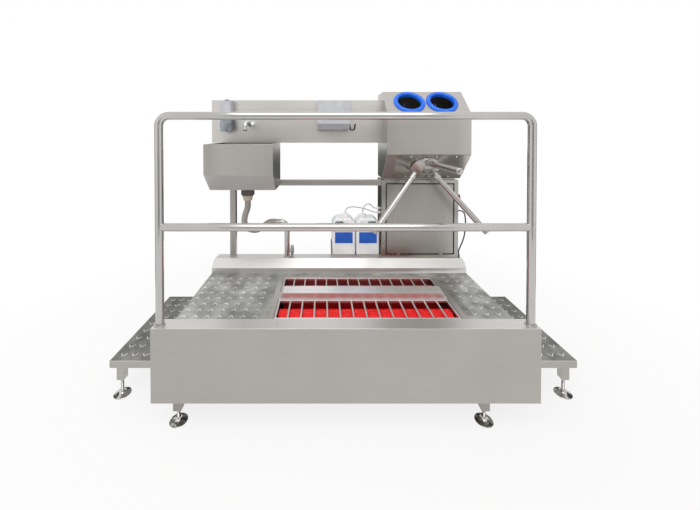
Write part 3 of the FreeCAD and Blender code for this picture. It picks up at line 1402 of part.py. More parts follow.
def ledge_gland_face():
    return at_depth(LEDGE_GLAND_X, LEDGE_GLAND_DEPTH, LEDGE_TOP)


def cabinet_fittings():
    """Tube elbows, cable glands, the plugged mains gland and the stop button's collar."""
    made = []
    for depth, z in ((ELBOW_LEFT_DEPTH, ELBOW_LEFT_Z), (ELBOW_RIGHT_DEPTH, ELBOW_RIGHT_Z)):
        face = at_depth(CABINET_LEFT, depth, z)
        out = Vector(-1, 0, 0)
        made.append(rod(face, out, ELBOW_R, ELBOW_LENGTH).fuse(
            rod(face, out, ELBOW_NUT_R, ELBOW_NUT)).removeSplitter())
    made.append(gland(cable_gland_face(), Vector(1, 0, 0), GLAND_R, GLAND_DOME_R))
    made.append(gland(ledge_gland_face(), Vector(0, 0, 1), GLAND_R, GLAND_DOME_R))
    mains = at_depth(CABINET_RIGHT, MAINS_GLAND_DEPTH, MAINS_GLAND_Z)
    made.append(gland(mains, Vector(1, 0, 0), 2 * GLAND_R, 2 * GLAND_DOME_R))
    stop = at_depth(CABINET_RIGHT, STOP_DEPTH, STOP_Z)
    made.append(ring(stop, Vector(1, 0, 0), STOP_BASE_R, STOP_STEM_R + RUNNING, STOP_BASE))
    return made


def stop_button():
    face = at_depth(CABINET_RIGHT, STOP_DEPTH, STOP_Z)
    out = Vector(1, 0, 0)
    head_start = face + out * (STOP_BASE + STOP_TRAVEL_GAP)
    head = rod(head_start, out, STOP_HEAD_R, STOP_HEAD)
    rim = [e for e in head.Edges if e.CenterOfMass.x > head_start.x + STOP_HEAD / 2]
    head = head.makeFillet(STOP_HEAD / 3, rim[:1])
    stem = rod(head_start + out * (STOP_HEAD / 2), Vector(-1, 0, 0), STOP_STEM_R,
               STOP_HEAD / 2 + STOP_BASE / 2 + STOP_TRAVEL_GAP)
    return [head.fuse(stem)]


def motor_cable():
    """The black cable that hangs from the cabinet's side down to the ledge."""
    start = cable_gland_face() + Vector(GLAND_LENGTH, 0, 0)
    end = ledge_gland_face() + Vector(0, 0, GLAND_LENGTH)
    points = [start,
              start + Vector(15, 0, 0),
              at_depth(889, 750, 898),
              at_depth(901, 750, 884),
              at_depth(906, 749, 862),
              at_depth(909, 748, 828),
              at_depth(907, 745, 785),
              at_depth(900, 741, 740),
              at_depth(886, 736, 695),
              at_depth(867, 730, 658),
              end + Vector(0, 0, 26),
              end]
    return [bent_tube(points, CABLE_R, None, None, "motor_cable")]


def housing_outline():
    front, back = FRONT + HOUSING_FRONT_DEPTH, FRONT + HOUSING_BACK_DEPTH
    return [(front, HOUSING_BOTTOM + HOUSING_CHIN), (front + HOUSING_CHIN, HOUSING_BOTTOM),
            (back, HOUSING_BOTTOM), (back, HOUSING_TOP), (front + HOUSING_BROW, HOUSING_TOP),
            (front, HOUSING_TOP - HOUSING_BROW)]


def brow_place(x):
    """The frame on the sloping top: X across, Y up the slope, Z out of the sheet."""
    centre = Vector(x, FRONT + HOUSING_FRONT_DEPTH + HOUSING_BROW / 2,
                    HOUSING_TOP - HOUSING_BROW / 2)
    return Placement(centre, Rotation(Vector(1, 0, 0), 45))


def chin_place():
    """The frame on the sloping underside at the hub: Y up the slope, Z out of the sheet."""
    centre = Vector(HUB_X, FRONT + HOUSING_FRONT_DEPTH + HOUSING_CHIN / 2,
                    HOUSING_BOTTOM + HOUSING_CHIN / 2)
    return Placement(centre, Rotation(Vector(1, 0, 0), 135))


def placed(solid, place):
    solid.Placement = place.multiply(solid.Placement)
    return solid


def cuff_places():
    middle = (CABINET_LEFT + CABINET_RIGHT) / 2
    return [brow_place(middle + side * CUFF_SPACING / 2) for side in (-1, 1)]


def housing_shell():
    outline = housing_outline()
    x = (CABINET_LEFT, CABINET_RIGHT)
    shell = prism(outline, "x", x).cut(prism(inset(outline, SHEET), "x", grown(x, -SHEET)))
    for place in cuff_places():
        shell = shell.cut(placed(rod(Vector(0, 0, -2 * OVERRUN), Vector(0, 0, 1),
                                     CUFF_NECK_R + SEAM, 4 * OVERRUN), place))
    hole = rod(Vector(0, 0, -2 * OVERRUN), Vector(0, 0, 1), TURN_SHAFT_R + TURN_HOLE_GAP,
               4 * OVERRUN)
    return [shell.cut(placed(hole, chin_place()))]


def hand_rings():
    """The two blue cuffs that the hands go through."""
    profile = [(CUFF_BORE_R, -CUFF_NECK), (CUFF_NECK_R, -CUFF_NECK), (CUFF_NECK_R, 0),
               (CUFF_R, 0), (CUFF_R, CUFF_RISE - CUFF_BEVEL), (CUFF_R - CUFF_BEVEL, CUFF_RISE),
               (CUFF_BORE_R + CUFF_BEVEL, CUFF_RISE), (CUFF_BORE_R, CUFF_RISE - CUFF_BEVEL)]
    return [turned(profile, place) for place in cuff_places()]


def hand_trough():
    """The box behind the cuffs where the hands are sprayed, and its nozzles."""
    x = span(0, TROUGH_WIDTH)
    y = span(0, TROUGH_HEIGHT)
    z = (-SHEET - TROUGH_DEPTH, -SHEET)
    trough = box(x, y, z).cut(box(grown(x, -SHEET), grown(y, -SHEET), (z[0] + SHEET, OVERRUN)))
    made = [trough]
    for side in (-1, 1):
        for row in range(HAND_NOZZLE_ROWS):
            level = z[0] + TROUGH_DEPTH * (row + 1) / (HAND_NOZZLE_ROWS + 1)
            start = Vector(side * CUFF_SPACING / 2, y[1] - SHEET, level)
            made.append(Part.makeCone(HAND_NOZZLE_R, HAND_NOZZLE_R / 2, HAND_NOZZLE, start,
                                      Vector(0, -1, 0)))
    place = brow_place((CABINET_LEFT + CABINET_RIGHT) / 2)
    return [placed(solid, place) for solid in made]


def chin_half():
    return HOUSING_CHIN / math.sqrt(2)


def turnstile_plate():
    y = span(0, 2 * (chin_half() - MOUNT_PLATE_INSET))
    plate = box((MOUNT_PLATE_LEFT - HUB_X, CABINET_RIGHT - HUB_X), y, (0, SHEET))
    hole = rod(Vector(0, 0, -OVERRUN), Vector(0, 0, 1), TURN_SHAFT_R + TURN_HOLE_GAP,
               SHEET + 2 * OVERRUN)
    return [placed(plate.cut(hole), chin_place())]


def turnstile_bearing():
    bore = TURN_SHAFT_R + RUNNING
    profile = [(bore, -SHEET), (TURN_FLANGE_R, -SHEET), (TURN_FLANGE_R, -SHEET - TURN_FLANGE),
               (TURN_BARREL_R, -SHEET - TURN_FLANGE), (TURN_BARREL_R, -SHEET - TURN_BARREL),
               (bore, -SHEET - TURN_BARREL)]
    return [turned(profile, chin_place())]


def hub_solid():
    """The domed hub on its shaft, with three slots in the boss and three arm sockets."""
    foot = SHEET + HUB_GAP
    top = foot + HUB_HEIGHT
    hub = turned([(0, -TURN_BARREL), (TURN_SHAFT_R, -TURN_BARREL), (TURN_SHAFT_R, foot),
                  (HUB_R, foot), (HUB_R, foot + HUB_RIM), (HUB_BOSS_R, top), (0, top)])
    for i in range(3):
        slot = box(span(0, HUB_SLOT_WIDTH), span(HUB_SLOT_PLACE, HUB_SLOT_LENGTH),
                   (top - HUB_SLOT_DEPTH, top + OVERRUN))
        slot.rotate(Vector(0, 0, 0), Vector(0, 0, 1), 60 + 120 * i)
        hub = hub.cut(slot)
    for i in range(3):
        root, way = arm_line(i)
        hub = hub.fuse(rod(root, way, ARM_SOCKET_R, ARM_SOCKET))
    return hub


def arm_line(i):
    """Where arm i leaves the hub and its direction, 45 degrees from the hub's axis."""
    angle = math.radians(90 + 120 * i)
    out = Vector(math.cos(angle), math.sin(angle), 0)
    root = out * ARM_ROOT_R + Vector(0, 0, SHEET + HUB_GAP + HUB_RIM + ARM_ROOT_RISE)
    return root, (out + Vector(0, 0, 1)).normalize()


def turnstile_hub():
    hub = hub_solid()
    for i in range(3):
        root, way = arm_line(i)
        hub = hub.cut(rod(root, way, ARM_R + RUNNING, ARM_SOCKET + OVERRUN))
    return [placed(hub, chin_place())]


def turnstile_arms():
    """Three tube arms with domed ends, each seated in its socket."""
    made = []
    for i in range(3):
        root, way = arm_line(i)
        inner = ARM_R - ARM_WALL
        start = ARM_LENGTH - ARM_DOME
        profile = [(inner, 0), (ARM_R, 0), (ARM_R, start), (ARM_R / 2, ARM_LENGTH - ARM_DOME / 4),
                   (0, ARM_LENGTH), (0, start - ARM_WALL), (inner, start - ARM_WALL)]
        arm = turned(profile, Placement(root, Rotation(Vector(0, 0, 1), way)))
        made.append(placed(arm, chin_place()))
    return made


def fasteners():
    """Domed screws along both edges of the turnstile's mounting plate."""
    made = []
    reach = CABINET_RIGHT - MOUNT_PLATE_LEFT
    y = chin_half() - MOUNT_PLATE_INSET - SCREW_INSET
    for share in (1 - SCREW_PLACES_SHARES[1],) + SCREW_PLACES_SHARES:
        x = MOUNT_PLATE_LEFT + reach * share - HUB_X
        for side in (-1, 1):
            head = turned([(0, SHEET), (SCREW_R, SHEET), (SCREW_R / 2, SHEET + SCREW_HEAD),
                           (0, SHEET + SCREW_HEAD)], Placement(Vector(x, side * y, 0), Rotation()))
            made.append(placed(head, chin_place()))
    return made


def pieces():
    """Every sub-part by its name."""
    front_y, rear_y = roller_places()
    left_lock, right_lock = lock_places()
    return {
        "base_frame": base_frame(),
        "levelling_feet": levelling_feet(),
        "front_skirt": front_skirt(),
        "lower_panels": lower_panels(),
        "rear_ledge": rear_ledge(),
        "tread_plates": tread_plates(),
        "well_frame": well_frame(),
        "brush_tank": brush_tank(),
        "tank_drain": tank_drain(),
        "centre_channel": centre_channel(),
        "spray_pipe": spray_pipe(),
        "bearing_blocks": bearing_blocks(),
        "gearmotor": gearmotor(),
        "drive_belt": drive_belt(),
        "front_roller": roller_core(front_y),
        "front_bristles": roller_bristles(front_y),
        "rear_roller": roller_core(rear_y),
        "rear_bristles": roller_bristles(rear_y),
        "motor_pulley": motor_pulley(),
        "front_grille": grille(front_y),
        "rear_grille": grille(rear_y),
        "step_frames": step_frames(),
        "step_treads": step_treads(),
        "handrail": handrail(),
        "rear_frame": rear_frame(),
        "back_panel": back_panel(),
        "sink_bowl": sink_bowl(),
        "sink_waste": sink_waste(),
        "drain_hose": drain_hose(),
        "drain_pipe": drain_pipe(),
        "water_valve": water_valve(),
        "valve_lever": valve_lever(),
        "tap": tap(),
        "soap_reservoir": soap_reservoir(),
        "soap_valve": soap_valve(),
        "soap_lever": soap_lever(),
        "towel_case": towel_case(),
        "towel_cover": towel_cover(),
        "coat_hook": coat_hook(),
        "jug_tray": jug_tray(),
        "jugs": jugs(),
        "jug_caps": jug_caps(),
        "suction_tube_left": suction_tube_left(),
        "suction_tube_right": suction_tube_right(),
        "cabinet_shell": cabinet_shell(),
        "cabinet_door": cabinet_door(),
        "lock_left": door_lock(left_lock),
        "lock_right": door_lock(right_lock),
        "cabinet_equipment": cabinet_equipment(),
        "cabinet_fittings": cabinet_fittings(),
        "stop_button": stop_button(),
        "motor_cable": motor_cable(),
        "housing_shell": housing_shell(),
        "hand_rings": hand_rings(),
        "hand_trough": hand_trough(),
        "turnstile_plate": turnstile_plate(),
        "turnstile_bearing": turnstile_bearing(),
        "turnstile_hub": turnstile_hub(),
        "turnstile_arms": turnstile_arms(),
        "fasteners": fasteners(),
    }


def main():
    os.makedirs("parts", exist_ok=True)
    for name, solids in pieces().items():
        flat = [solid for shape in solids for solid in shape.Solids]
        shape = flat[0] if len(flat) == 1 else Part.makeCompound(flat)
        shape.exportStep("parts/" + name + ".step")


main()
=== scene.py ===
# %% [markdown]
# # A boot washer in stainless steel
# People walk up one side step, over two red brush rollers, and down the other side. On the way
# they wash their hands, and the turnstile lets them pass only when their hands were in the two
# blue holes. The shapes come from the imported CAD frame. This file dresses them: it rounds folded
# edges, builds what CAD leaves plain, and gives every piece the finish of the real one.

# %% Frame
import json
import math

import bmesh
import bpy
from mathutils import Euler, Matrix, Vector


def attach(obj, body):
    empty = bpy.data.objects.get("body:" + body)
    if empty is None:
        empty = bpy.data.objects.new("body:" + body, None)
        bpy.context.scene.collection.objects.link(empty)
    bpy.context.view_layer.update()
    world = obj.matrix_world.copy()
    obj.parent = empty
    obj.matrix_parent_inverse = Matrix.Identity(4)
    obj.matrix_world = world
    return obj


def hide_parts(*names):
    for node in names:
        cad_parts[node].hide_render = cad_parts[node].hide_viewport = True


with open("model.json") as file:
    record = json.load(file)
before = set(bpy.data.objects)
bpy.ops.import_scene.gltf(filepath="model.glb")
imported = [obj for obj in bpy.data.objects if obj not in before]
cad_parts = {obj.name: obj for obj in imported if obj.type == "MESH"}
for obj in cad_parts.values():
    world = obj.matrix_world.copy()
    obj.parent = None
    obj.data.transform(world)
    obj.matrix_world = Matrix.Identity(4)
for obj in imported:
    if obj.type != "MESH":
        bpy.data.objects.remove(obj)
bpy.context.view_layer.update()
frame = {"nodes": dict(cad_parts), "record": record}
record = frame["record"]
scene = bpy.context.scene
MM = 0.001

# %% [markdown]
# ## Places and bodies
# The machine is measured from its front skirt: X across, depth behind the skirt's face, and
# height above the floor, all in millimetres. One function turns such a place into Blender's
# metres. One table from the record says which body a CAD node rides on.

# %% Places and bodies
SKIRT_FACE = -445.0


def spot(x, depth, z):
    return Vector((x * MM, (depth + SKIRT_FACE) * MM, z * MM))


body_of = {node: body for body, nodes in record["behaviour"]["bodies"].items() for node in nodes}


# %% [markdown]
# ## Colour and node helpers
# Colours are written as sRGB hex values, as a paint chart gives them. Blender's shaders work in
# linear light, so one function turns them. One other function adds a node with its settings and
# its links, and serves materials and Geometry Nodes alike.

# %% Colour and nodes
def linear(code):
    shares = [int(code[i:i + 2], 16) / 255 for i in (0, 2, 4)]
    return [s / 12.92 if s <= 0.04045 else ((s + 0.055) / 1.055) ** 2.4 for s in shares] + [1.0]


def add(tree, kind, inputs=None, **settings):
    node = tree.nodes.new(kind)
    for name, value in settings.items():
        setattr(node, name, value)
    for key, value in (inputs or {}).items():
        if isinstance(value, bpy.types.NodeSocket):
            tree.links.new(value, node.inputs[key])
        else:
            node.inputs[key].default_value = value
    return node


def maths(tree, operation, first, second):
    return add(tree, "ShaderNodeMath", {0: first, 1: second}, operation=operation).outputs[0]


def fresh(name, **sockets):
    """A new material: its tree, its Principled shader and the object's own coordinates."""
    material = bpy.data.materials.new(name)
    material.use_nodes = True
    tree = material.node_tree
    tree.nodes.clear()
    shader = add(tree, "ShaderNodeBsdfPrincipled")
    add(tree, "ShaderNodeOutputMaterial", {"Surface": shader.outputs[0]})
    for key, value in sockets.items():
        shader.inputs[key.replace("_", " ")].default_value = value
    return material, tree, shader, add(tree, "ShaderNodeTexCoord").outputs["Object"]


def noise(tree, place, scale, detail=2.0):
    """Noise at its own scale on each axis: slow along one and fast across it is a brushed line."""
    mapping = add(tree, "ShaderNodeMapping", {"Vector": place, "Scale": scale})
    return add(tree, "ShaderNodeTexNoise", {"Vector": mapping.outputs[0], "Scale": 1.0,
                                            "Detail": detail}).outputs["Fac"]


def ranged(tree, value, low, high):
    return add(tree, "ShaderNodeMapRange", {"Value": value, "From Min": 0.3, "From Max": 0.7,
                                            "To Min": low, "To Max": high}).outputs[0]


def tinted(tree, factor, dark, light):
    ramp = add(tree, "ShaderNodeValToRGB", {"Fac": factor})
    for stop, position, code in zip(ramp.color_ramp.elements, (0.3, 0.7), (dark, light)):
        stop.position = position
        stop.color = linear(code)
    return ramp.outputs[0]


def surface(tree, shader, colour=None, rough=None, height=None, distance=0.0002, strength=0.5):
    """Links a colour, a roughness and a bump height to the shader, where they are given."""
    if colour:
        tree.links.new(colour, shader.inputs["Base Color"])
    if rough:
        tree.links.new(rough, shader.inputs["Roughness"])
    if height:
        bump = add(tree, "ShaderNodeBump", {"Height": height, "Strength": strength,
                                            "Distance": distance})
        tree.links.new(bump.outputs[0], shader.inputs["Normal"])


# %% [markdown]
# ## Brushed stainless steel
# Nearly everything here is 1.4301 stainless sheet and tube, finished with a grit belt. The belt
# leaves fine straight scratches along the sheet, and highlights smear across them. On the real
# sheet they are 0.1 mm apart, too fine for a picture of the whole machine, so they are drawn
# about 3 mm apart and weak. A slow cloudiness in tone and roughness stands for wiping marks.

# %% Steel
def brushed_steel(name, dark, light, rough, along):
    material, tree, shader, place = fresh(name, Metallic=1.0)
    slow, fast = 2.0, 330.0
    scale = {"X": (slow, fast, fast), "Y": (fast, slow, fast), "Z": (fast, fast, slow)}[along]
    scratches = noise(tree, place, scale, 3.0)
    clouds = noise(tree, place, (3.0, 3.0, 3.0), 4.0)
    both = add(tree, "ShaderNodeMix", {0: 0.6, 2: scratches, 3: clouds}).outputs[0]
    surface(tree, shader, tinted(tree, both, dark, light),
            ranged(tree, clouds, rough - 0.03, rough + 0.04), scratches, 0.0002, 0.06)
    return material


steel = brushed_steel("brushed stainless sheet", "aeaaa5", "bab6b1", 0.33, "X")
steel_upright = brushed_steel("brushed stainless, grain upright", "aaa7a2", "b8b4af", 0.28, "Z")
steel_door = brushed_steel("brushed stainless door", "a6a39e", "b3afaa", 0.30, "Z")
steel_panel = brushed_steel("brushed stainless wall panel", "cbc8c4", "d6d3cf", 0.33, "X")
steel_housing = brushed_steel("brushed stainless housing", "b8b5b1", "c4c1bd", 0.33, "X")
steel_cover = brushed_steel("ground channel cover", "e4e3e1", "f0efee", 0.42, "X")
steel_ground = brushed_steel("ground stainless plate", "cfcdcb", "dddbd9", 0.38, "X")
steel_tube = brushed_steel("polished stainless tube", "b7b5b3", "c8c6c4", 0.13, "X")
steel_mirror = brushed_steel("bright-rolled stainless", "b8b2ac", "c6c0ba", 0.12, "X")
steel_tank = brushed_steel("mill-finish stainless below the deck", "9a9590", "ada8a2", 0.42, "X")

# %% [markdown]
# ## Tread plate
# The tread plates have pressed lugs. Feet and brushes wear the lugs' tops bright, while the
# field between them keeps a matt, slightly stained pickled finish. So the lugs get their own
# smoother, lighter steel, and the field is darker, with stains of 30 to 100 mm.

# %% Tread plate finish
def pickled_steel(name, dark, light, rough):
    material, tree, shader, place = fresh(name, Metallic=1.0)
    stains = noise(tree, place, (11.0, 11.0, 11.0), 5.0)
    grit = noise(tree, place, (900.0, 900.0, 900.0), 2.0)
    surface(tree, shader, tinted(tree, stains, dark, light),
            ranged(tree, stains, rough + 0.12, rough - 0.08), grit, 0.0003, 0.25)
    return material


deck_field = pickled_steel("pickled tread plate", "8d8e8b", "c3c3bf", 0.36)
step_field = pickled_steel("pickled step plate", "73736f", "94938f", 0.40)
# Besides the lugs' wear, this bright steel is a painted highlight on the rounded folds of the kerb
# and the steps.
lug_steel = pickled_steel("worn lug steel", "dcdbd8", "f4f3f1", 0.24)


# %% [markdown]
# ## Polished parts, plastics and rubber
# Tap, locks and feet are chrome-bright, so their colour is nearly even and their roughness low.
# Moulded plastics have a faint orange-peel of about 2 mm and no metal. The cuffs are blue
# polyethylene, the jugs milky polyethylene that lets a little light through, and cable sheath
# is black rubber with a dull skin. The same black rubber is painted shade behind the door's gap.

# %% Other finishes
def polished(name, dark, light, rough):
    material, tree, shader, place = fresh(name, Metallic=1.0)
    smears = noise(tree, place, (40.0, 40.0, 40.0), 3.0)
    surface(tree, shader, tinted(tree, smears, dark, light),
            ranged(tree, smears, rough, rough + 0.06))
    return material


def moulded(name, dark, light, rough, peel=500.0, strength=0.2, **sockets):
    material, tree, shader, place = fresh(name, IOR=1.49, **sockets)
    skin = noise(tree, place, (peel, peel, peel), 2.0)
    shade = noise(tree, place, (18.0, 18.0, 18.0), 3.0)
    surface(tree, shader, tinted(tree, shade, dark, light),
            ranged(tree, skin, rough - 0.05, rough + 0.07), skin, 0.0002, strength)
    return material


chrome = polished("chrome plate", "d5d7d9", "e8e9ea", 0.07)
dark_chrome = polished("black chrome plate", "8d949c", "a9b0b8", 0.12)
foot_steel = polished("turned and polished stainless", "b9b7b4", "d8d6d3", 0.16)
nickel_brass = polished("nickel-plated brass", "b8b0a0", "cfc8ba", 0.24)
aluminium = polished("turned aluminium", "c9cbcd", "dadcde", 0.3)
blue_cuff = moulded("blue polyethylene", "1560d8", "1f74ee", 0.34)
white_plastic = moulded("white polypropylene", "e6e7e8", "f3f4f4", 0.38)
jug_plastic = moulded("milky polyethylene", "e9ecee", "f6f8f9", 0.42, 300.0, 0.15,
                      Subsurface_Weight=0.25, Subsurface_Scale=0.012)
label_blue = moulded("plain blue label film", "1450b4", "1d62c8", 0.30, 200.0, 0.05)
label_white = moulded("plain white label film", "e4e8ee", "f0f3f7", 0.30, 200.0, 0.05)
tube_plastic = moulded("translucent tubing", "c2c6c9", "d6dadc", 0.25, Transmission_Weight=0.35)
soap_plastic = moulded("translucent soap tank", "dcdce6", "eeeef6", 0.18, 200.0, 0.05,
                       Transmission_Weight=0.45)
case_plastic = moulded("painted towel case", "aeb0b5", "bcbec4", 0.36)
black_plastic = moulded("black nylon", "121214", "1d1d20", 0.42)
black_rubber = moulded("black rubber sheath", "0d0d0e", "19191a", 0.55)
# Near-black finish that is painted shade: it stands for the shade in the deck's joints and in the
# hub's key slots.
dark_gap = moulded("dark sealing compound", "0a0a0a", "131312", 0.85)
ring_grey = moulded("grey nylon nut", "57524e", "6d6863", 0.45)
nipple_beige = moulded("beige nylon nipple", "b5aa98", "c6bcaa", 0.42)
hose_grey = moulded("grey hose", "96918c", "a8a4a0", 0.42)
stop_red = moulded("red button", "c21419", "d81b20", 0.25)
yellow_plastic = moulded("yellow collar", "e2b112", "f0c422", 0.35)
box_grey = moulded("grey equipment case", "8b8f94", "9da1a5", 0.5)
motor_paint = moulded("grey-blue machine paint", "3f4a55", "4d5964", 0.4)
belt_black = moulded("belt rubber", "161616", "232323", 0.7)

# %% [markdown]
# ## Bristles
# The rollers carry thousands of red nylon filaments. Each tuft stands a little differently and
# has its own tone, so the colour varies over a few millimetres instead of being one flat red.

# %% Bristle finish
bristle_red, tree, shader, place = fresh("red nylon bristle", IOR=1.53, Roughness=0.45)
tufts = noise(tree, place, (160.0, 160.0, 160.0), 2.0)
surface(tree, shader, tinted(tree, tufts, "e01216", "fb2c2c"))


# %% [markdown]
# ## From a mesh to a piece
# A piece needs its finish, smooth shading that stops at real edges, a body to ride on, and the
# CAD nodes that it stands for. One function does all of that, so no piece forgets a step. The
# weighted-normal modifier keeps flat sheet flat beside its rounded folds.

# %% Pieces
def mesh_of(name, bm):
    mesh = bpy.data.meshes.new(name)
    bm.to_mesh(mesh)
    bm.free()
    return mesh


def linked(name, data):
    obj = bpy.data.objects.new(name, data)
    scene.collection.objects.link(obj)
    return obj


def piece(name, bm, finish, nodes=(), body=None, sharp=38.0):
    bm.normal_update()
    mesh = mesh_of(name, bm)
    for one in finish if isinstance(finish, (list, tuple)) else [finish]:
        mesh.materials.append(one)
    mesh.polygons.foreach_set("use_smooth", [True] * len(mesh.polygons))
    mesh.set_sharp_from_angle(angle=math.radians(sharp))
    obj = linked(name, mesh)
    weighted = obj.modifiers.new("flat faces stay flat", "WEIGHTED_NORMAL")
    weighted.keep_sharp = True
    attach(obj, body or body_of[nodes[0]])
    if nodes:
        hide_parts(*nodes)
    return obj


# %% [markdown]
# ## Rounding folded sheet
# A press brake leaves a radius of 2 to 3 mm on every fold, and that radius catches a thin line of
# light along each edge, which is what makes sheet metal look real. Redrawing each sheet by hand
# would be slow. So the CAD mesh is copied, its loose triangles are merged into whole faces, and
# only edges between two broad faces are rounded: outer folds with the larger radius, inner ones
# with what is left after the sheet's thickness. Cut edges get a small chamfer or none.

# %% Softened copies
def copied(node):
    bm = bmesh.new()
    bm.from_mesh(frame["nodes"][node].data)
    bmesh.ops.remove_doubles(bm, verts=bm.verts[:], dist=3e-6)
    bmesh.ops.dissolve_limit(bm, angle_limit=math.radians(0.5), use_dissolve_boundaries=False,
                             verts=bm.verts[:], edges=bm.edges[:])
    return bm


def broad(edge, wide):
    return all(face.calc_area() > wide * MM * edge.calc_length() for face in edge.link_faces)


def rounded_edges(bm, chosen, radius, steps):
    edges = [e for e in bm.edges if len(e.link_faces) == 2
             and e.calc_face_angle() > math.radians(28) and chosen(e)]
    if edges and radius > 0:
        bmesh.ops.bevel(bm, geom=edges, offset=radius * MM, offset_type="OFFSET",
                        segments=steps, profile=0.5, affect="EDGES", clamp_overlap=True)


def softened(node, finish, fold=0.0, cut=0.0, wide=5.0, choose=None):
    """A copy of a CAD node with rounded folds and broken cut edges.

    Where choose is given, it picks each face's finish by its place: x, depth and height in mm.
    """
    bm = copied(node)
    rounded_edges(bm, lambda e: e.is_convex and broad(e, wide), fold, 3)
    rounded_edges(bm, lambda e: not e.is_convex and broad(e, wide), min(fold, 1.0), 2)
    rounded_edges(bm, lambda e: e.is_convex and not broad(e, wide)
                  and e.calc_length() > 3 * MM, cut, 1)
    if choose:
        for face in bm.faces:
            at = face.calc_center_median() / MM
            face.material_index = choose(at.x, at.y - SKIRT_FACE, at.z)
    return piece(node + "_dressed", bm, finish, [node])


for node, finish, fold, cut in (
        ("base_frame", steel_tank, 3.0, 0.0), ("lower_panels", steel, 0.0, 0.5),
        ("rear_ledge", steel_ground, 4.0, 0.4), ("well_frame", steel, 2.0, 1.0),
        ("brush_tank", steel_tank, 2.0, 0.0), ("tank_drain", steel, 0.0, 0.4),
        ("centre_channel", steel_cover, 5.0, 0.4), ("spray_pipe", steel, 0.0, 0.0),
        ("drive_belt", belt_black, 0.0, 0.0), ("motor_pulley", aluminium, 0.0, 0.5),
        ("step_frames", steel_upright, 3.0, 0.0), ("rear_frame", steel_upright, 3.0, 0.0),
        ("back_panel", steel_panel, 2.5, 0.4),
        ("drain_pipe", steel_tube, 0.0, 0.4), ("drain_hose", hose_grey, 0.0, 0.0),
        ("valve_lever", chrome, 0.0, 0.6), ("soap_valve", dark_chrome, 0.0, 1.2),
        ("soap_lever", dark_chrome, 0.0, 0.8), ("towel_case", case_plastic, 1.0, 0.4),
        ("towel_cover", case_plastic, 6.0, 0.3), ("coat_hook", black_plastic, 0.0, 0.0),
        ("jug_tray", steel, 1.5, 0.4), ("cabinet_shell", steel_upright, 2.5, 0.4),
        ("cabinet_door", steel_door, 2.5, 0.4), ("lock_left", steel_upright, 0.0, 0.5),
        ("lock_right", steel_upright, 0.0, 0.5), ("stop_button", stop_red, 0.0, 0.0),
        ("housing_shell", steel_housing, 3.0, 0.4), ("hand_trough", steel_tank, 2.0, 0.3),
        ("turnstile_plate", steel_mirror, 0.0, 0.4), ("turnstile_bearing", steel, 0.0, 1.0)):
    softened(node, finish, fold, cut)

# %% [markdown]
# ## Pieces with two finishes
# Some assemblies are bought in as one unit but show two materials: a chrome tap has a black
# outlet ring, a valve has a brass body on a steel pipe, and a cabinet's side carries white tube
# elbows, black cable glands and the stop button's yellow collar. Splitting the mesh would make
# more pieces than the real thing has, so each face simply takes its finish from where it lies.

# %% Two finishes
TAP_OUTLET_TOP, ELBOWS_END, STOP_FOOT = 1479.2, 302.0, 960.0
softened("tap", [chrome, black_plastic], cut=0.5,
         choose=lambda x, depth, z: int(z < TAP_OUTLET_TOP))
# Painted light: below its fold at the front, the bowl takes the lighter cover steel, which stands
# for a brighter reflection there.
SINK_FOLD = 1204.0
softened("sink_bowl", [steel_housing, steel_cover], fold=2.5, cut=0.5,
         choose=lambda x, depth, z: int(z < SINK_FOLD and depth < 500.0))
softened("water_valve", [nickel_brass, steel], cut=0.6,
         choose=lambda x, depth, z: int(z < 611.5))
softened("cabinet_fittings", [white_plastic, black_plastic, yellow_plastic], cut=0.6,
         choose=lambda x, depth, z: 0 if x < ELBOWS_END else 2 if z > STOP_FOOT else 1)
softened("cabinet_equipment", [box_grey, blue_cuff], fold=2.0, cut=0.6,
         choose=lambda x, depth, z: int(x > 640.0))
softened("gearmotor", [motor_paint, aluminium], fold=3.0, cut=1.0,
         choose=lambda x, depth, z: int(x > -600.0))
softened("bearing_blocks", [black_plastic, steel], cut=1.0,
         choose=lambda x, depth, z: int(z > 350.5 and z < 351.0))
for roller in ("front_roller", "rear_roller"):
    softened(roller, [steel, aluminium], cut=0.5,
             choose=lambda x, depth, z: int(x < -413.0))


# %% [markdown]
# ## Turned and bent shapes
# Three small builders make most of the remaining parts. A block is a box between two places on
# each axis. A lathe turns a profile round an axis, as feet, nuts and rings really are made. A
# bender sweeps a circle along a route whose corners all have one bend radius, as a tube bender
# leaves them.

# %% Block, lathe and bender
def block(bm, x, depth, z, finish=0):
    low, high = spot(x[0], depth[0], z[0]), spot(x[1], depth[1], z[1])
    place = Matrix.Translation((low + high) / 2) @ Matrix.Diagonal((*(high - low), 1.0))
    made = bmesh.ops.create_cube(bm, size=1.0, matrix=place)["verts"]
    for face in {face for vert in made for face in vert.link_faces}:
        face.material_index = finish
    return made


def lathe(profile, sides=48, closed=False, finishes=None):
    """Turns (radius, height) pairs in mm round Z; a closed profile is a ring."""
    bm = bmesh.new()
    rings = []
    for radius, height in profile:
        count = sides if radius else 1
        rings.append([bm.verts.new((radius * MM * math.cos(math.tau * i / count),
                                    radius * MM * math.sin(math.tau * i / count), height * MM))
                      for i in range(count)])
    following = rings[1:] + (rings[:1] if closed else [])
    for number, (low, high) in enumerate(zip(rings, following)):
        for i in range(sides if len(low) + len(high) > 2 else 0):
            j = i + 1
            corners = [low[i % len(low)], low[j % len(low)], high[j % len(high)],
                       high[i % len(high)]]
            face = bm.faces.new(list(dict.fromkeys(corners)))
            face.material_index = finishes[number] if finishes else 0
    bmesh.ops.recalc_face_normals(bm, faces=bm.faces[:])
    return bm


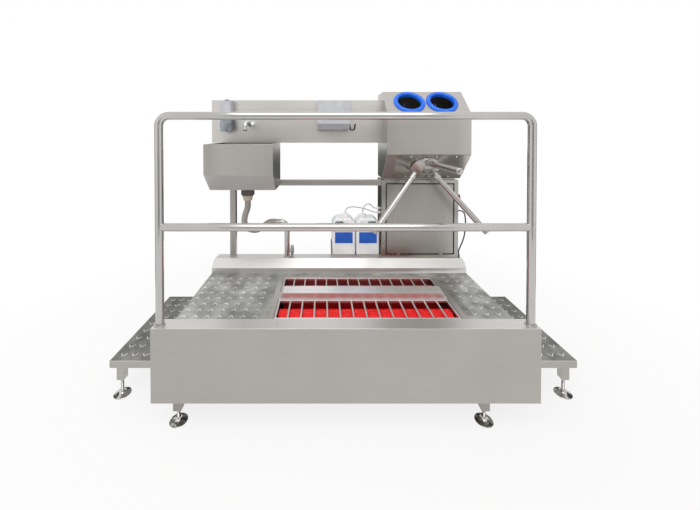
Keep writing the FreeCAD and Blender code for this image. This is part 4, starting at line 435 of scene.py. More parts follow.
def route(points, bend, steps=10):
    """A path through corners, each rounded to the same bend radius in mm."""
    path = [points[0]]
    for before, corner, after in zip(points, points[1:], points[2:]):
        back, ahead = (before - corner).normalized(), (after - corner).normalized()
        half = back.angle(ahead) / 2
        centre = corner + (back + ahead).normalized() * bend * MM / math.sin(half)
        first = (corner + back * bend * MM / math.tan(half) - centre).normalized()
        last = (corner + ahead * bend * MM / math.tan(half) - centre).normalized()
        path += [centre + first.slerp(last, i / steps) * bend * MM for i in range(steps + 1)]
    return path + [points[-1]]


def swept(path, radius, sides=32, closed=False, finish=0):
    """A round bar in mm radius along a path, with its frame carried along without twist."""
    bm = bmesh.new()
    count = len(path)
    rings = []
    side = None
    for i, point in enumerate(path):
        after = path[(i + 1) % count] if closed else path[min(i + 1, count - 1)]
        before = path[i - 1] if closed else path[max(i - 1, 0)]
        ahead = (after - before).normalized()
        side = side or (Vector((0, 0, 1)) if abs(ahead.z) < 0.8 else Vector((1, 0, 0)))
        side = (side - ahead * side.dot(ahead)).normalized()
        other = ahead.cross(side)
        rings.append([bm.verts.new(point + (side * math.cos(math.tau * k / sides)
                                            + other * math.sin(math.tau * k / sides))
                                   * radius * MM) for k in range(sides)])
    for low, high in zip(rings, rings[1:] + (rings[:1] if closed else [])):
        for k in range(sides):
            bm.faces.new((low[k], low[(k + 1) % sides], high[(k + 1) % sides], high[k]))
    if not closed:
        bm.faces.new(rings[0])
        bm.faces.new(rings[-1])
    bmesh.ops.recalc_face_normals(bm, faces=bm.faces[:])
    for face in bm.faces:
        face.material_index = finish
    return bm


# %% [markdown]
# Parts are put together in one mesh, each with its place and, where it has several finishes, its
# own finish number. A mesh that came out of Geometry Nodes joins in the same way.

# %% Putting parts together
def put(whole, part, finish=None, place=Matrix()):
    mesh = part if isinstance(part, bpy.types.Mesh) else mesh_of("part", part)
    mesh.transform(place)
    if finish is not None:
        mesh.polygons.foreach_set("material_index", [finish] * len(mesh.polygons))
    whole.from_mesh(mesh)
    bpy.data.meshes.remove(mesh)


def moved(x, depth, z, turn=0.0, axis="X"):
    return Matrix.Translation(spot(x, depth, z)) @ Matrix.Rotation(math.radians(turn), 4, axis)


# %% [markdown]
# ## Growing repeats with Geometry Nodes
# Lugs, grille rods, tufts, ribs, feet and screws repeat one shape by a rule. Copying meshes in a
# loop would work, but a node tree keeps the rule and its sizes in one place, where they can be
# changed by name. One function opens a tree with its named inputs, one closes it with the real
# mesh and its material, and one runs it and hands back a plain mesh.

# %% Opening, closing and running a tree
def open_tree(name, sizes):
    """Sizes are numbers, or the kind of a socket for shapes and places."""
    tree = bpy.data.node_groups.new(name, "GeometryNodeTree")
    for label, value in sizes.items():
        kind = value if isinstance(value, str) else {int: "Int", float: "Float"}[type(value)]
        socket = tree.interface.new_socket(label, in_out="INPUT", socket_type="NodeSocket" + kind)
        if not isinstance(value, str):
            socket.default_value = value
    tree.interface.new_socket("Finish", in_out="INPUT", socket_type="NodeSocketMaterial")
    tree.interface.new_socket("Mesh", in_out="OUTPUT", socket_type="NodeSocketGeometry")
    return tree, add(tree, "NodeGroupInput").outputs


def close_tree(tree, given, points, shape, turn=(0.0, 0.0, 0.0)):
    """Puts a shape on every point, makes the copies real and gives them their material."""
    copies = add(tree, "GeometryNodeInstanceOnPoints",
                 {"Points": points, "Instance": shape, "Rotation": turn}).outputs[0]
    real = add(tree, "GeometryNodeRealizeInstances", {0: copies}).outputs[0]
    dressed = add(tree, "GeometryNodeSetMaterial", {0: real, "Material": given["Finish"]})
    add(tree, "NodeGroupOutput", {0: dressed.outputs[0]})


def grown(tree, finish, values, shape=None, places=()):
    mesh = bpy.data.meshes.new("places")
    mesh.from_pydata([tuple(place) for place in places], [], [])
    holder = linked("holder", mesh)
    values = dict(values, Finish=finish)
    if shape:
        values["Shape"] = linked("shape", mesh_of("shape", shape))
    modifier = holder.modifiers.new("grow", "NODES")
    modifier.node_group = tree
    for socket in tree.interface.items_tree:
        if socket.in_out == "INPUT" and socket.name in values:
            modifier[socket.identifier] = values[socket.name]
    bpy.context.view_layer.update()
    depsgraph = bpy.context.evaluated_depsgraph_get()
    result = bpy.data.meshes.new_from_object(holder.evaluated_get(depsgraph))
    holder.modifiers.remove(modifier)
    bpy.data.objects.remove(holder)
    if shape:
        bpy.data.objects.remove(values["Shape"])
    print(tree.name, "grew", len(result.polygons), "faces")
    return result


# %% [markdown]
# ## Lugs on the tread plates
# The lugs are pressed through the sheet in straight rows and columns: small rounded Vs that point
# to the front on the right plate and on the steps, and to the back on the left plate, because the
# same pressed sheet was turned end for end. A bump map would vanish at the plate's edge and in
# the meshes, so each lug is a low ridge of about thirty faces, and a grid tree repeats it.

# %% One lug
def lug(half_width, length, stroke, rise, way, roundness):
    bm = bmesh.new()
    reach, sunk = 6, 0.5
    rows = []
    for step in range(-reach, reach + 1, 2):
        t = step / reach
        across = t * (half_width - stroke / 2)
        curve = math.sqrt(t * t + roundness ** 2) - roundness
        along = way * length * (curve / (math.sqrt(1 + roundness ** 2) - roundness) - 0.5)
        taper = (1.0 - 0.75 * t ** 4)
        row = [(-1.0, -sunk), (-0.75, 0.6), (0.0, 1.0), (0.75, 0.6), (1.0, -sunk)]
        lean = way * 0.5 * math.copysign(min(1.0, abs(t) * 2), t)
        rows.append([bm.verts.new(Vector((across + lean * side * stroke / 2 * -1,
                                          along + side * stroke / 2 * taper,
                                          up * rise * taper if up > 0 else up)) * MM)
                     for side, up in row])
    for low, high in zip(rows, rows[1:]):
        for k in range(len(low)):
            bm.faces.new((low[k], high[k], high[(k + 1) % len(low)], low[(k + 1) % len(low)]))
    bm.faces.new(rows[0])
    bm.faces.new(rows[-1])
    bmesh.ops.recalc_face_normals(bm, faces=bm.faces[:])
    return bm


# %% The lug field's tree
lug_tree, given = open_tree("lug field", {"Columns": 6, "Rows": 8, "Pitch across": 0.064,
                                          "Pitch along": 0.064, "Shape": "Object"})
spans = []
for count, pitch in (("Columns", "Pitch across"), ("Rows", "Pitch along")):
    spans.append(maths(lug_tree, "MULTIPLY", maths(lug_tree, "SUBTRACT", given[count], 1.0),
                       given[pitch]))
field = add(lug_tree, "GeometryNodeMeshGrid", {"Size X": spans[0], "Size Y": spans[1],
                                               "Vertices X": given["Columns"],
                                               "Vertices Y": given["Rows"]}).outputs[0]
lug_info = add(lug_tree, "GeometryNodeObjectInfo", {"Object": given["Shape"]})
close_tree(lug_tree, given, field, lug_info.outputs["Geometry"])


def lugs(bm, x, depth, top, pitch, half_width, length, way, roundness, finish, counts=None):
    """Rows and columns centred on a plate, as many as fit inside its margin if not counted."""
    margin = 14.0
    columns, rows = counts or [int((side[1] - side[0] - 2 * margin) / step)
                               for side, step in zip((x, depth), pitch)]
    values = {"Columns": columns, "Rows": rows, "Pitch across": pitch[0] * MM,
              "Pitch along": pitch[1] * MM}
    field = grown(lug_tree, lug_steel, values, lug(half_width, length, 7.0, 2.0, way, roundness))
    put(bm, field, finish, moved((x[0] + x[1]) / 2, (depth[0] + depth[1]) / 2, top))


# %% [markdown]
# ## Deck plates and steps
# The deck is three plates with a fine joint between them, and the strip behind the brush well has
# two finger slots for lifting it. Thin near-black strips in the joints are painted shade: they
# draw the lines that the eye reads as separate plates. Each step is one tray, its four edges
# turned down.

# %% Deck plates
def chamfered(bm, size):
    rounded_edges(bm, lambda e: e.is_convex, size, 1)


deck = bmesh.new()
DECK, WELL, SHEET, DECK_TOP = (-870.0, 870.0), (-400.0, 640.0), (497, 500), 500
KERB_BACK, STRIP_FRONT, SLOT_END, LEDGE_FRONT, DECK_BACK = 85, 604, 618, 645, 772
for x in ((DECK[0], WELL[0]), (WELL[1], DECK[1])):
    block(deck, x, (KERB_BACK, DECK_BACK), SHEET)
SLOTS = [(120.0 + side * 397.5 - 17.0, 120.0 + side * 397.5 + 17.0) for side in (-1, 1)]
block(deck, WELL, (SLOT_END, DECK_BACK), SHEET)
for x in ((WELL[0], SLOTS[0][0]), (SLOTS[0][1], SLOTS[1][0]), (SLOTS[1][1], WELL[1])):
    block(deck, x, (STRIP_FRONT, SLOT_END), SHEET)
bmesh.ops.remove_doubles(deck, verts=deck.verts[:], dist=1e-6)
chamfered(deck, 0.9)
# Painted shade: near-black strips in the joints stand for the shade in the gaps between the
# plates.
for x in WELL:
    block(deck, (x - 1.8, x + 1.8), (KERB_BACK + 1, LEDGE_FRONT), (497.5, 499.7), 2)
block(deck, WELL, (603.2, 604.8), (497.5, 499.5), 2)
lugs(deck, (-841, -465), (115, 558), DECK_TOP, (62.7, 63.3), 16, 19, -1, 0.7, 1, (7, 8))
lugs(deck, (WELL[1], DECK[1]), (KERB_BACK, LEDGE_FRONT), DECK_TOP, (64, 64), 16, 19, 1, 0.35, 1)
piece("tread_plates_with_lugs", deck, [deck_field, lug_steel, dark_gap], ["tread_plates"])

# %% Step trays
STEP_DEPTH, STEP_UNDER, STEP_TOP, STEP_WALL = (190, 890), 175, 215, 3 * MM
steps = bmesh.new()
for low, high in ((-1275.0, -870.3), (870.3, 1275.0)):
    tray = bmesh.new()
    block(tray, (low, high), STEP_DEPTH, (STEP_UNDER, STEP_TOP))
    bottom = [f for f in tray.faces if f.normal.z < -0.9]
    bmesh.ops.delete(tray, geom=bottom, context="FACES_ONLY")
    inside = bmesh.ops.duplicate(tray, geom=tray.faces[:] + tray.edges[:] + tray.verts[:])["geom"]
    centre = spot((low + high) / 2, sum(STEP_DEPTH) / 2, STEP_UNDER)
    for vert in [v for v in inside if isinstance(v, bmesh.types.BMVert)]:
        away = vert.co - centre
        vert.co = centre + Vector((away.x - math.copysign(STEP_WALL, away.x),
                                   away.y - math.copysign(STEP_WALL, away.y),
                                   away.z - (STEP_WALL if away.z > 1 * MM else 0.0)))
    bmesh.ops.reverse_faces(tray, faces=[f for f in inside if isinstance(f, bmesh.types.BMFace)])
    rims = [e for e in tray.edges if e.is_boundary]
    bmesh.ops.bridge_loops(tray, edges=rims)
    bmesh.ops.recalc_face_normals(tray, faces=tray.faces[:])
    rounded_edges(tray, lambda e: e.is_convex and e.calc_length() > 30 * MM, 3.0, 3)
    tray.normal_update()
    # The rounded folds between top and sides take the bright lug steel: a painted highlight along
    # each fold.
    for face in tray.faces:
        upward = face.normal.z
        face.material_index = 0 if upward > 0.95 else 1 if upward > 0.15 else 2
    put(steps, tray)
    lugs(steps, (low, high), STEP_DEPTH, STEP_TOP, (62, 75), 21, 25, 1, 0.25, 1, (6, 9))
piece("step_trays_with_lugs", steps, [step_field, lug_steel, steel_upright], ["step_treads"])

# %% Front skirt with the joint in its kerb
KERB_TOP = 503.0
skirt = copied("front_skirt")
rounded_edges(skirt, lambda e: e.is_convex and broad(e, 5.0), 5.0, 4)
rounded_edges(skirt, lambda e: not e.is_convex and broad(e, 5.0), 1.0, 2)
skirt.normal_update()
# Painted light: the kerb's top takes the lighter ground steel, and its rounded front fold the
# bright lug steel as a painted highlight.
for face in skirt.faces:
    worn = face.normal.y < -0.15 and face.normal.z > 0.15
    on_top = face.calc_center_median().z > KERB_TOP * MM
    face.material_index = 3 if worn else 2 if on_top else 0
# A darker strip across the kerb top is painted shade for the joint's groove.
block(skirt, (-342.8, -341.2), (3, 84), (505.5, 506.04), 1)
piece("front_skirt_dressed", skirt, [steel, deck_field, steel_ground, lug_steel],
      ["front_skirt"])

# %% [markdown]
# ## Grilles
# Each grille is a frame of flat bar with thirteen round rods welded across it. The rods sit at an
# even pitch, so a line tree lays them; the frame is four bars with broken edges, and each rod
# ends in a small weld collar against its bar.

# %% The rod line's tree
rod_tree, given = open_tree("rod line", {"Count": 13, "Pitch": 0.0693, "Rod radius": 0.00485,
                                         "Rod length": 0.171})
step = add(rod_tree, "ShaderNodeCombineXYZ", {0: given["Pitch"]}).outputs[0]
line = add(rod_tree, "GeometryNodeMeshLine", {"Count": given["Count"], "Offset": step}).outputs[0]
bar = add(rod_tree, "GeometryNodeMeshCylinder",
          {"Vertices": 20, "Radius": given["Rod radius"], "Depth": given["Rod length"]})
close_tree(rod_tree, given, line, bar.outputs["Mesh"], (math.pi / 2, 0.0, 0.0))

# %% Frames and rods
GRILLE, GRILLE_Z, FLAT_BAR, ROD_PITCH, ROD_Z = (-365, 605), (487.3, 499.3), 10, 970.0 / 14, 494.3
for name, depth in (("front_grille", (99.0, 290.0)), ("rear_grille", (381.0, 572.0))):
    grille = bmesh.new()
    inside = (depth[0] + FLAT_BAR, depth[1] - FLAT_BAR)
    for y in ((depth[0], inside[0]), (inside[1], depth[1])):
        block(grille, GRILLE, y, GRILLE_Z)
    for x in ((GRILLE[0], GRILLE[0] + FLAT_BAR), (GRILLE[1] - FLAT_BAR, GRILLE[1])):
        block(grille, x, inside, GRILLE_Z)
    chamfered(grille, 0.8)
    first = moved(GRILLE[0] + ROD_PITCH, sum(depth) / 2, ROD_Z)
    sizes = {"Count": 13, "Pitch": ROD_PITCH * MM, "Rod radius": 4.85 * MM,
             "Rod length": (depth[1] - depth[0] - 16) * MM}
    put(grille, grown(rod_tree, steel_ground, sizes), 0, first)
    for y in (inside[0], inside[1] - 2):
        collars = grown(rod_tree, steel_ground,
                        dict(sizes, **{"Rod radius": 5.0 * MM, "Rod length": 2.4 * MM}))
        put(grille, collars, 0, moved(GRILLE[0] + ROD_PITCH, y + 1, ROD_Z))
    piece(name + "_welded", grille, steel_ground, [name])

# %% [markdown]
# ## Bristles on the rollers
# A roller is a plastic core with some thousands of drilled tufts. Hair particles would not become
# mesh. So a tree scatters points on the core's skin with a fixed seed, and puts a
# four-sided tuft on each, a little tilted and spreading towards its tip. A red inner drum fills
# the gaps between them, as deeper bristles do.

# %% The bristle tree
bristle_tree, given = open_tree("bristles", {"Root radius": 0.074, "Length": 0.94,
                                             "Tuft height": 0.0155, "Tuft radius": 0.0040,
                                             "Tufts per square metre": 15500.0, "Seed": 7})
drum = add(bristle_tree, "GeometryNodeMeshCylinder",
           {"Vertices": 64, "Radius": given["Root radius"], "Depth": given["Length"]},
           fill_type="NONE")
roots = add(bristle_tree, "GeometryNodeDistributePointsOnFaces",
            {"Mesh": drum.outputs["Mesh"], "Density": given["Tufts per square metre"],
             "Seed": given["Seed"]})
lean = add(bristle_tree, "FunctionNodeRandomValue",
           {"Min": (-0.16, -0.16, -0.8), "Max": (0.16, 0.16, 0.8), "Seed": given["Seed"]},
           data_type="FLOAT_VECTOR").outputs[0]
tilt = add(bristle_tree, "FunctionNodeEulerToRotation", {0: lean}).outputs[0]
way = add(bristle_tree, "FunctionNodeRotateRotation",
          {"Rotation": roots.outputs["Rotation"], "Rotate By": tilt}, rotation_space="LOCAL")
root_radius = maths(bristle_tree, "MULTIPLY", given["Tuft radius"], 0.6)
tuft = add(bristle_tree, "GeometryNodeMeshCone",
           {"Vertices": 4, "Radius Top": given["Tuft radius"], "Radius Bottom": root_radius,
            "Depth": given["Tuft height"]})
close_tree(bristle_tree, given, roots.outputs["Points"], tuft.outputs["Mesh"],
           way.outputs[0])

# %% Two brushes
for name, depth, seed in (("front_bristles", 194.5, 7), ("rear_bristles", 476.5, 19)):
    brush = bmesh.new()
    along = Matrix.Translation(spot(120, depth, 396)) @ Matrix.Rotation(math.pi / 2, 4, "Y")
    put(brush, lathe([(30.5, -470), (86, -470), (86, 470), (30.5, 470)], 64, closed=True), 0,
        along)
    put(brush, grown(bristle_tree, bristle_red, {"Length": 0.932, "Seed": seed}), 0, along)
    piece(name + "_tufted", brush, bristle_red, [name], sharp=60.0)

# %% [markdown]
# ## Handrail
# The hoop is 40 mm tube: straight lengths welded to bought elbows, a rail between the posts, and a
# ring at each foot that hides the weld to the kerb. The middle rail ends in a saddle cut, and its
# weld bead follows the saddle, so the bead's path is worked out from the two tubes.

# %% Handrail
rail = bmesh.new()
RAIL_X, RAIL_DEPTH, RAIL_R, RAIL_BEND = 922.0, 40.0, 20.0, 50.0
RAIL_FOOT, RAIL_MIDDLE, RAIL_TOP = 506, 989, 1541
corners = [spot(x, RAIL_DEPTH, z) for x, z in ((-RAIL_X, RAIL_FOOT), (-RAIL_X, RAIL_TOP),
                                               (RAIL_X, RAIL_TOP), (RAIL_X, RAIL_FOOT))]
put(rail, swept(route(corners, RAIL_BEND, 16), RAIL_R, 48))
inner = RAIL_X - 12.0
put(rail, swept([spot(x, RAIL_DEPTH, RAIL_MIDDLE) for x in (-inner, inner)], RAIL_R, 48))
for side in (-1, 1):
    saddle = [spot(side * (RAIL_X - RAIL_R * abs(math.sin(a)) - 0.3),
                   RAIL_DEPTH + (RAIL_R + 0.2) * math.cos(a),
                   RAIL_MIDDLE + (RAIL_R + 0.2) * math.sin(a))
              for a in (math.tau * i / 48 for i in range(48))]
    put(rail, swept(saddle, 1.5, 10, closed=True))
    foot_ring = [(20.05, 0), (27, 0), (27, 3.4), (26.2, 4.6), (24.8, 5), (20.05, 5)]
    put(rail, lathe(foot_ring, 48, closed=True), None,
        moved(side * RAIL_X, RAIL_DEPTH, RAIL_FOOT))
    seam = [(19.6, -1.4), (20.25, -0.9), (20.45, 0), (20.25, 0.9), (19.6, 1.4)]
    put(rail, lathe(seam, 48, closed=True), None,
        moved(side * RAIL_X, RAIL_DEPTH, RAIL_TOP - RAIL_BEND))
    put(rail, lathe(seam, 48, closed=True), None,
        moved(side * (RAIL_X - RAIL_BEND), RAIL_DEPTH, RAIL_TOP, 90, "Y"))
piece("handrail_welded", rail, steel_tube, ["handrail"])

# %% [markdown]
# ## Levelling feet
# Twelve adjustable feet: a turned disc with a bell, a threaded stem and a lock nut under the leg.
# The profile is turned on the lathe, thread included, because light picks out the thread's rings
# even from afar. A tree sets the same foot under each leg; the steps' legs end higher, so their
# feet have a longer stem.

# %% The tree for shapes on given places
place_tree, given = open_tree("shape on places", {"Places": "Geometry", "Shape": "Object",
                                                  "Turn": "Vector"})
turned_by = add(place_tree, "FunctionNodeEulerToRotation", {0: given["Turn"]}).outputs[0]
shape_info = add(place_tree, "GeometryNodeObjectInfo", {"Object": given["Shape"]})
close_tree(place_tree, given, given["Places"], shape_info.outputs["Geometry"], turned_by)


# %% One foot
def foot(leg_bottom):
    profile = [(0, 0), (42.5, 0), (44, 1.2), (44, 3.8), (42.8, 5.0), (34, 7.2), (24, 10.5),
               (17, 15.0), (14.2, 19.5), (13, 24.0), (11.5, 25.5), (7.6, 25.5)]
    pitch, height = 2.0, 26.5
    while height < leg_bottom - 12.0:
        profile += [(8.0, height), (7.0, height + pitch / 2)]
        height += pitch
    profile += [(8.0, leg_bottom - 11.0), (8.0, leg_bottom + 19.0), (0, leg_bottom + 19.0)]
    bm = lathe(profile, 40)
    nut = bmesh.new()
    bmesh.ops.create_cone(nut, cap_ends=True, segments=6, radius1=13 * MM, radius2=13 * MM,
                          depth=10.6 * MM)
    chamfered(nut, 0.9)
    put(bm, nut, None, Matrix.Translation((0, 0, (leg_bottom - 5.6) * MM)))
    return bm


feet = bmesh.new()
for leg_bottom, across, along in ((65.0, (-841, 703), (62, 750)),
                                  (91.0, (-1231, -914, 914, 1231), (234, 846))):
    places = [spot(x, depth, 0) for x in across for depth in along]
    put(feet, grown(place_tree, foot_steel, {"Turn": (0.0, 0.0, 0.2)}, foot(leg_bottom), places))
piece("levelling_feet_turned", feet, foot_steel, ["levelling_feet"])


# %% [markdown]
# ## Ribs in a ring
# Nuts and caps that are turned by hand have ribs round them. A ring tree sets small blocks on a
# circle, each turned to face outwards.

# %% The rib ring's tree
rib_tree, given = open_tree("rib ring", {"Count": 24, "Ring radius": 0.02, "Rib depth": 0.002,
                                         "Rib width": 0.002, "Rib height": 0.01})
circle = add(rib_tree, "GeometryNodeMeshCircle", {"Vertices": given["Count"],
                                                  "Radius": given["Ring radius"]}).outputs[0]
angle = maths(rib_tree, "MULTIPLY", add(rib_tree, "GeometryNodeInputIndex").outputs[0],
              maths(rib_tree, "DIVIDE", math.tau, given["Count"]))
outwards = add(rib_tree, "FunctionNodeEulerToRotation",
               {0: add(rib_tree, "ShaderNodeCombineXYZ", {2: angle}).outputs[0]}).outputs[0]
size = add(rib_tree, "ShaderNodeCombineXYZ", {0: given["Rib depth"], 1: given["Rib width"],
                                              2: given["Rib height"]}).outputs[0]
rib = add(rib_tree, "GeometryNodeMeshCube", {"Size": size})
close_tree(rib_tree, given, circle, rib.outputs["Mesh"], outwards)


def ribs(bm, count, radius, depth, width, height, place, finish):
    sizes = {"Count": count, "Ring radius": radius * MM, "Rib depth": depth * MM,
             "Rib width": width * MM, "Rib height": height * MM}
    put(bm, grown(rib_tree, black_plastic, sizes), finish, place)


# %% [markdown]
# ## Sink waste
# Under the bowl sits a black flange with a ribbed grey ring nut, then the beige nipple that the
# hose is pushed on. All of it is injection-moulded nylon, and inside the bowl there is a polished
# strainer.

# %% Sink waste
waste = bmesh.new()
at = moved(-612, 600, 0)
put(waste, lathe([(25.1, 1083), (44.5, 1083), (46, 1084.5), (46, 1095), (25.1, 1095.8)], 48,
                 closed=True), 0, at)
put(waste, lathe([(25.1, 1044), (40, 1044), (42, 1046), (43.2, 1082), (25.1, 1083)], 48,
                 closed=True), 1, at)
ribs(waste, 20, 42.2, 3.2, 4.5, 32, moved(-612, 600, 1064), 1)
put(waste, lathe([(25.1, 1010), (28, 1010), (29.5, 1013), (31, 1028), (34.5, 1031), (35, 1042),
                  (33, 1044), (25.1, 1044)], 40, closed=True), 2, at)
put(waste, lathe([(17, 1010), (25, 1010), (25, 1098), (41, 1098), (42, 1099), (41.5, 1100.6),
                  (38, 1101), (24, 1099.6), (17, 1098.6)], 48, closed=True), 3, at)
piece("sink_waste_moulded", waste, [black_plastic, ring_grey, nipple_beige, chrome],
      ["sink_waste"])

# %% [markdown]
# ## Soap reservoir
# A small translucent tank with a black screw cap. The dip tube and the liquid inside show as a
# darker strip, so there is a real tube inside the tank, and the plastic lets some light through.

# %% Soap reservoir
def runs(axis, least=0.1):
    """Picks the edges that run along an axis: 1 in depth, 2 upright."""
    return lambda e: abs(e.verts[0].co[axis] - e.verts[1].co[axis]) > least


soap = bmesh.new()
block(soap, (-807, -727), (629, 699), (1544, 1678))
rounded_edges(soap, lambda e: runs(2)(e) and e.verts[0].co.y < spot(0, 650, 0).y, 14.0, 6)
rounded_edges(soap, lambda e: e.is_convex, 2.0, 2)
put(soap, lathe([(0, 1678), (15, 1678), (15, 1684.6), (13.6, 1686), (0, 1687)], 32), 1,
    moved(-767, 664, 0))
ribs(soap, 26, 14.9, 1.0, 1.6, 6, moved(-767, 664, 1681.5), 1)
put(soap, lathe([(0, 1549), (9, 1549), (9, 1668), (0, 1668)], 20), 2, moved(-767, 664, 0))
piece("soap_reservoir_moulded", soap, [soap_plastic, black_plastic, case_plastic],
      ["soap_reservoir"])


# %% [markdown]
# ## Jugs
# The jugs are blow-moulded: every edge is well rounded, the shoulders slope, and a grip hole goes
# through the body. The form starts as a six-sided prism, its edges are bevelled, and the grip and
# the arch at the foot are cut by a boolean. The label is a film with its own thickness, left
# plain.

# %% Cutting one shape out of another
def carved(body, tools):
    objects = [linked("carving", mesh_of("carving", bm)) for bm in [body] + tools]
    for tool in objects[1:]:
        modifier = objects[0].modifiers.new("cut", "BOOLEAN")
        modifier.operation, modifier.solver, modifier.object = "DIFFERENCE", "EXACT", tool
    bpy.context.view_layer.update()
    depsgraph = bpy.context.evaluated_depsgraph_get()
    result = bpy.data.meshes.new_from_object(objects[0].evaluated_get(depsgraph))
    for obj in objects:
        bpy.data.objects.remove(obj)
    return result


# %% Jugs
jugs = bmesh.new()
JUG_BOTTOM, JUG_TOP, JUG_FRONT, JUG_BACK = 586.0, 848.0, 740.0, 882.0
for x, away in ((38.0, -1), (210.0, 1)):
    outline = [(x - 83, JUG_BOTTOM), (x + 83, JUG_BOTTOM), (x + 83, JUG_TOP - 33),
               (x + 50, JUG_TOP), (x - 50, JUG_TOP), (x - 83, JUG_TOP - 33)]
    body = bmesh.new()
    near = body.faces.new([body.verts.new(spot(px, JUG_FRONT, pz)) for px, pz in outline])
    far = bmesh.ops.extrude_face_region(body, geom=[near])["geom"]
    bmesh.ops.translate(body, vec=spot(0, JUG_BACK, 0) - spot(0, JUG_FRONT, 0),
                        verts=[v for v in far if isinstance(v, bmesh.types.BMVert)])
    bmesh.ops.recalc_face_normals(body, faces=body.faces[:])
    rounded_edges(body, lambda e: True, 12.0, 5)
    grip = bmesh.new()
    block(grip, (x + min(away, 0) * 62, x + max(away, 0) * 62), (730, 892),
          (JUG_TOP - 44, JUG_TOP - 18))
    rounded_edges(grip, runs(1), 11.0, 5)
    arch = bmesh.new()
    block(arch, (x - 40, x + 40), (730, 892), (JUG_BOTTOM - 10, JUG_BOTTOM + 6))
    rounded_edges(arch, runs(1), 5.0, 4)
    put(jugs, carved(body, [grip, arch]), 0)
    rib = bmesh.new()
    block(rib, (x - 66, x + 66), (JUG_FRONT - 0.4, JUG_FRONT + 1), (660, 762))
    rounded_edges(rib, runs(1, 0.0005), 6.0, 4)
    put(jugs, rib, 2)
    label = bmesh.new()
    block(label, (x - 62, x + 64), (JUG_FRONT - 0.7, JUG_FRONT + 1), (673, 752))
    put(jugs, label, 1)
piece("jugs_blown", jugs, [jug_plastic, label_blue, label_white], ["jugs"])

# %% Jug caps
caps = bmesh.new()
for x in (54.0, 182.0):
    at = moved(x, 812, 0)
    put(caps, lathe([(0, 848), (23, 848), (23, 866), (22, 868), (8, 868.6), (7, 869), (7, 877.6),
                     (0, 878)], 40), None, at)
    ribs(caps, 36, 23.2, 1.4, 1.9, 15, moved(x, 812, 857.5), 0)
piece("jug_caps_ribbed", caps, white_plastic, ["jug_caps"])

# %% [markdown]
# ## Hand rings
# The hands go through two moulded cuffs, set in the sloping brow. The cuff is one turned profile:
# a soft outer lip, a shallow crown and a straight throat through the sheet. A matrix stands it on
# the brow, which leans back at 45 degrees.

# %% Hand rings
rings = bmesh.new()
cuff = [(76, -14), (76, 5), (77.5, 8.8), (80.5, 12.2), (85, 13.8), (91, 14), (97, 12.6),
        (101.4, 9.4), (103.6, 5.2), (104, 0.3), (81.7, 0.1), (81.7, -14)]
for x in (462.5, 678.5):
    put(rings, lathe(cuff, 72, closed=True), None, moved(x, 591.5, 1660.5, 45))
piece("hand_rings_moulded", rings, blue_cuff, ["hand_rings"], sharp=50.0)

# %% [markdown]
# ## Turnstile
# The hub turns about an axis that leans 45 degrees out of the chin, and its three arms stand at
# 45 degrees to that axis, so one arm always lies level across the way. The hub is a turned disc
# with a cone and a boss; three slots in the boss take the fitter's key, and their faces are
# painted near-black as shade. The slots come from CAD. Each arm is drawn tube with a pressed dome.

# %% Turnstile
chin = moved(570, 601, 1232, 135)
inward = chin.inverted()
BOSS_TOP, SLOT_FLOOR = 55.4, 51.2


# The slot faces take the near-black finish: painted shade inside the key slots.
def hub_finish(x, depth, z):
    at = inward @ spot(x, depth, z) / MM
    return int(SLOT_FLOOR < at.z < BOSS_TOP and math.hypot(at.x, at.y) < 36.0)


softened("turnstile_hub", [steel_housing, dark_gap], cut=1.2, choose=hub_finish)
arms = bmesh.new()
arm_profile = [(16, 0), (18, 0), (18, 473), (18.25, 474.2), (18, 475.4), (18, 477), (17.6, 479.4),
               (16.4, 481.4), (14, 482.8), (9, 483.7), (0, 484), (0, 475), (16, 475)]
for turn in (90, 210, 330):
    out = Vector((math.cos(math.radians(turn)), math.sin(math.radians(turn)), 0.0))
    root = (out * 74.0 + Vector((0, 0, 27.5))) * MM
    way = (out + Vector((0, 0, 1))).to_track_quat("Z", "Y").to_matrix().to_4x4()
    put(arms, lathe(arm_profile, 40, closed=True), None, chin @ Matrix.Translation(root) @ way)
piece("turnstile_arms_domed", arms, steel_tube, ["turnstile_arms"])

# %% [markdown]
# ## Screws and the painted shade behind the door's gap
# Six domed screws hold the turnstile's plate. Each has a round socket, and the tree that set
# the feet sets them too, turned into the chin's plane. Behind the door's edge a black strip is
# painted shade: it draws the dark line of the gap round a closed cabinet door. It is thinner
# behind the locks, so that their cams pass in front of it through their whole quarter turn.

# %% Screws
screw = lathe([(0, 0), (6, 0), (5.9, 0.9), (5.0, 2.3), (3.4, 3.2), (2.2, 3.45), (2.2, 1.6),
               (0, 1.6)], 24)
half_plate = 180.0 / math.sqrt(2) - 8.0 - 16.0
reach = 840.0 - 370.0
heads = [chin @ (Vector((370.0 + reach * share - 570.0, side * half_plate, 2.0)) * MM)
         for share in (0.19, 0.54, 0.81) for side in (-1, 1)]
screws = bmesh.new()
put(screws, grown(place_tree, chrome, {"Turn": (math.radians(135), 0.0, 0.0)}, screw, heads))
piece("fasteners_domed", screws, chrome, ["fasteners"])

# %% Painted shade behind the door's gap
# A black strip behind the door's gap: painted shade for the gap round the closed door.
GASKET_BACK, CAM_SWING = 723, (798, 876)
gasket = bmesh.new()
for x in ((330.6, 346), (796, 811.4)):
    for front, z in ((717, (604.6, CAM_SWING[0])), (720, CAM_SWING),
                     (717, (CAM_SWING[1], 1105.4))):
        block(gasket, x, (front, GASKET_BACK), z)
for z in ((604.6, 618), (1092, 1105.4)):
    block(gasket, (346, 796), (717, GASKET_BACK), z)
bmesh.ops.remove_doubles(gasket, verts=gasket.verts[:], dist=1e-6)
piece("door_gasket", gasket, black_rubber, body="machine")


# %% [markdown]
# ## Cords
# The two suction tubes and the motor cable are flexible, so each is one smooth spline through the
# route that it takes under its own stiffness and weight. The spline stays live as a curve, which
# keeps its true length.

